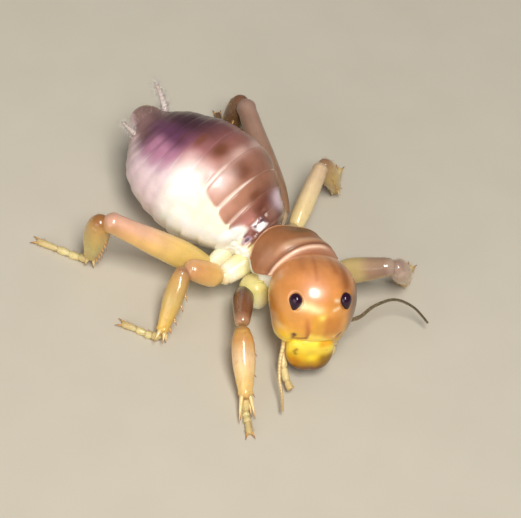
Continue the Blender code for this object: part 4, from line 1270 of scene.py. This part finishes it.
def build_leg(leg, draw):
    """Hip joint, thigh, spiny shin and foot of one leg."""
    thigh_shape = PAIRS[leg.split("_")[0]][0]
    root, hip, knee, ankle, toe = (np.array(point) for point in LEGS[leg])
    hip = hip + np.array(HIP_SHIFT.get(leg, (0, 0, 0)))
    coxa_half, femur_half, tibia_half, foot_half, tall = LEG_SIZES[leg][:5]
    side_way = unit(np.cross(knee - hip, ankle - knee))
    parts = [leg_part(leg, "hip", root, hip + (hip - root) * 0.12, coxa_half, COXA_SHAPE, side_way, 1,
                      *HIP_GRID, coxa_relief)]
    if leg in COXA_LOBES:
        parts.append(coxa_lobe(leg, side_way))
    join_piece(leg + "_hip", parts, "soft", "coxae", leg + "_coxa")
    thigh = leg_part(leg, "thigh", hip - (knee - hip) * 0.03, knee - (knee - hip) * 0.02, femur_half,
                     thigh_shape, side_way, tall, *LIMB_GRID, femur_relief)
    join_piece(leg + "_thigh", [thigh], "limb", "femora", leg + "_femur")
    parts = [leg_part(leg, "shin", knee, ankle, tibia_half, TIBIA_SHAPE, side_way, 1,
                      *LIMB_GRID, tibia_relief, 2.15)]
    parts += shin_spines(leg, knee, ankle, tibia_half, side_way, draw)
    parts += shin_spurs(leg, knee, ankle, toe, tibia_half, draw)
    join_piece(leg + "_shin", parts, "limb", "tibiae", leg + "_tibia")
    build_foot(leg, ankle, toe, foot_half)


# Bristles


def bristle_piece(name, slot, roots, facing, lies, long, thick, tints, patches):
    """Bristles of three sides, each with its own small patch of the skin's unwrap."""
    across = unit(np.cross(lies, facing) + 1e-6)
    upward = np.cross(across, lies)
    turns = np.array((0, 2.0943951, 4.1887902))
    ring = across[:, None] * np.sin(turns)[None, :, None] + upward[:, None] * np.cos(turns)[None, :, None]
    long = long[:, None, None]
    thick = thick[:, None, None]
    low = roots[:, None] - facing[:, None] * 0.03 + ring * (0.5 * thick)
    curl = upward[:, None] * (-0.12) * long
    middle = roots[:, None] + lies[:, None] * (0.55 * long) + curl * 0.3 + ring * (0.32 * thick)
    tip = roots[:, None] + lies[:, None] * long + curl
    corners = np.concatenate([low, middle, tip], axis=1)
    corners[..., 2] = np.maximum(corners[..., 2], 0.01)
    base = np.arange(len(roots))[:, None] * BRISTLE_CORNERS
    quads = [(0, 1, 4, 3), (1, 2, 5, 4), (2, 0, 3, 5)]
    triangles = [(3, 4, 6), (4, 5, 6), (5, 3, 6), (2, 1, 0)]
    faces = []
    for pattern in quads + triangles:
        faces += (base + np.array(pattern)).tolist()
    colours = np.repeat(tints[:, None], BRISTLE_CORNERS, axis=1)
    colours = colours * np.array((1.1, 1.1, 1.1, 0.8, 0.8, 0.8, 0.5))[None, :, None]
    skin = (corners.reshape(-1, 3), faces, colours.reshape(-1, 3))
    add_patches(make_piece(name, skin, "bristle"), patches)


def add_patches(mesh, patches):
    """The map OFBake: each bristle is a small patch at its root's place on the skin's unwrap."""
    size = 0.003
    spread = np.array(((0, 0), (1, 0), (0.5, 1), (0, 0.5), (1, 0.5), (0.5, 0.8), (0.5, 0.6))) * size
    layer = mesh.uv_layers.new(name="OFBake")
    corner = np.zeros(len(mesh.loops), np.int32)
    mesh.loops.foreach_get("vertex_index", corner)
    places = np.clip(patches[corner // BRISTLE_CORNERS], 0.002, 0.994) + spread[corner % BRISTLE_CORNERS]
    layer.data.foreach_set("uv", places.astype(np.float32).ravel())


def bristle_coat(name, slot, skin_names, seed, count, rows, long, thick, stand, tint):
    """Seeded bristles between two shares of the rows of several skins, as one piece."""
    draw = np.random.default_rng(seed)
    parts = []
    for index, skin_name in enumerate(skin_names):
        points, facing = skins[skin_name]
        total, columns = points.shape[:2]
        row = draw.integers(int(rows[0] * (total - 2)), int(rows[1] * (total - 2)), count)
        column = draw.integers(0, columns, count)
        out = facing[row, column]
        ahead = unit(points[np.minimum(row + 1, total - 1), column] - points[np.maximum(row - 1, 0), column])
        jitter = draw.normal(scale=0.18, size=(count, 3))
        lies = unit(ahead * (1 - stand) + out * stand + jitter)
        patch = np.stack([column / columns, row / (total - 1)], axis=-1)
        patch = (patch + np.array((index % 4, index // 4))) / 4
        parts.append((points[row, column], out, lies, long * draw.uniform(0.6, 1.25, count),
                      thick * draw.uniform(0.8, 1.2, count),
                      srgb(tint) * draw.uniform(0.8, 1.2, (count, 1)), patch))
    bristle_piece(name, slot, *(np.concatenate(values) for values in zip(*parts)))


def build_bristles():
    """Fine bristles on legs, feelers, mouth and tail."""
    amber = (206, 164, 106)
    pale = (232, 214, 182)
    white = (246, 238, 228)
    thighs, shins, feet = ([leg + part for leg in LEGS] for part in ("_thigh", "_shin", "_foot"))
    feelers, palps, tails = ([part + side for side in SIDES] for part in ("antenna_", "palp_", "cercus_"))
    # Piece, slot, skins, number on each, rows between, length, thickness, how upright and colour
    coats = (
        ("thigh", "femora", thighs, 200, (0.12, 0.97), 0.26, 0.016, 0.45, amber),
        ("shin", "tibiae", shins, 320, (0.12, 0.98), 0.34, 0.018, 0.5, amber),
        ("foot", "tarsi", feet, 240, (0.15, 0.97), 0.3, 0.018, 0.5, amber),
        ("feeler", "antennae", feelers, 900, (0.12, 1), 0.14, 0.012, 0.5, pale),
        ("palp", "soft_mouthparts", palps, 220, (0.2, 1), 0.22, 0.014, 0.55, amber),
        ("tail_feeler", "cerci", tails, 620, (0.08, 1), 0.65, 0.018, 0.7, white),
        ("tail", "abdomen", ["trunk"], 420, (0.84, 0.98), 0.24, 0.014, 0.45, pale),
    )
    for index, (name, slot, skin_names, *looks) in enumerate(coats):
        bristle_coat(name + "_bristles", slot, skin_names, HAIR_SEED + index, *looks)


# Setting


def build_ground():
    """A wide pale ground just under the feet."""
    steps = np.linspace(-4000, 4000, 9)
    across, back = np.meshgrid(steps, steps, indexing="ij")
    points = np.stack([across, back, np.full(across.shape, -0.01)], axis=-1)
    corners, faces, _ = grid_skin(points, np.ones(3), closed=False)
    mesh = bpy.data.meshes.new("ground")
    mesh.from_pydata((corners * MM).tolist(), [], faces)
    mesh.materials.append(ground_material())
    ground = add_object("ground", mesh)


def camera_axes():
    """Right, up and back directions of the camera."""
    turn, lift, roll = (math.radians(angle) for angle in CAMERA_ANGLES)
    back = np.array((math.sin(turn) * math.cos(lift), -math.cos(turn) * math.cos(lift), math.sin(lift)))
    level = np.array((math.cos(turn), math.sin(turn), 0))
    upright = np.cross(back, level)
    right = level * math.cos(roll) + upright * math.sin(roll)
    up = upright * math.cos(roll) - level * math.sin(roll)
    return right, up, back


def build_camera():
    """The camera at the viewing angle."""
    right, up, back = camera_axes()
    data = bpy.data.cameras.new("camera")
    data.sensor_width = CAMERA_SENSOR
    data.lens = CAMERA_LENS
    data.clip_start = 0.001
    data.clip_end = 10
    camera = add_object("camera", data)
    matrix = Matrix(np.column_stack((right, up, back)).tolist())
    camera.matrix_world = Matrix.Translation(Vector(CAMERA_AT) * MM) @ matrix.to_4x4()
    bpy.context.scene.camera = camera


def soft_light(name, way, distance, size, power, colour):
    """A soft light that looks at the middle of the animal."""
    middle = Vector((0, 0, 4.5)) * MM
    data = bpy.data.lights.new(name, "AREA")
    data.shape = "RECTANGLE"
    data.size = size[0] * MM
    data.size_y = size[1] * MM
    data.energy = power
    data.color = colour
    light = add_object(name, data)
    way = Vector(unit(np.array(way, float)))
    facing = way.to_track_quat("Z", "Y").to_matrix().to_4x4()
    light.matrix_world = Matrix.Translation(middle + way * (distance * MM)) @ facing


def build_lights():
    """A key over the camera, a broad fill from the left below it and an even sky."""
    right, up, back = camera_axes()
    soft_light("key", back + 0.17 * right + 0.2 * up, 300, (84, 150), 0.88, (1, 0.98, 0.94))
    soft_light("fill", back - 0.85 * right - 0.55 * up, 450, (420, 420), 0.98, (1, 0.98, 0.95))
    world = bpy.data.worlds.new("sky")
    world.use_nodes = True
    background = world.node_tree.nodes["Background"]
    background.inputs["Color"].default_value = (0.97, 0.98, 1, 1)
    background.inputs["Strength"].default_value = 0.17
    bpy.context.scene.world = world


def build():
    """The whole animal and its setting."""
    draw = random.Random(SEED)
    build_camera()
    build_lights()
    build_ground()
    build_trunk()
    build_pronotum()
    build_head()
    build_eyes()
    build_labrum()
    build_mandibles()
    build_labium()
    build_palps()
    build_antennae()
    build_cerci()
    for leg in LEGS:
        build_leg(leg, draw)
    build_bristles()


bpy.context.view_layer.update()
bpy.context.scene.view_settings.view_transform = "Standard"
build()
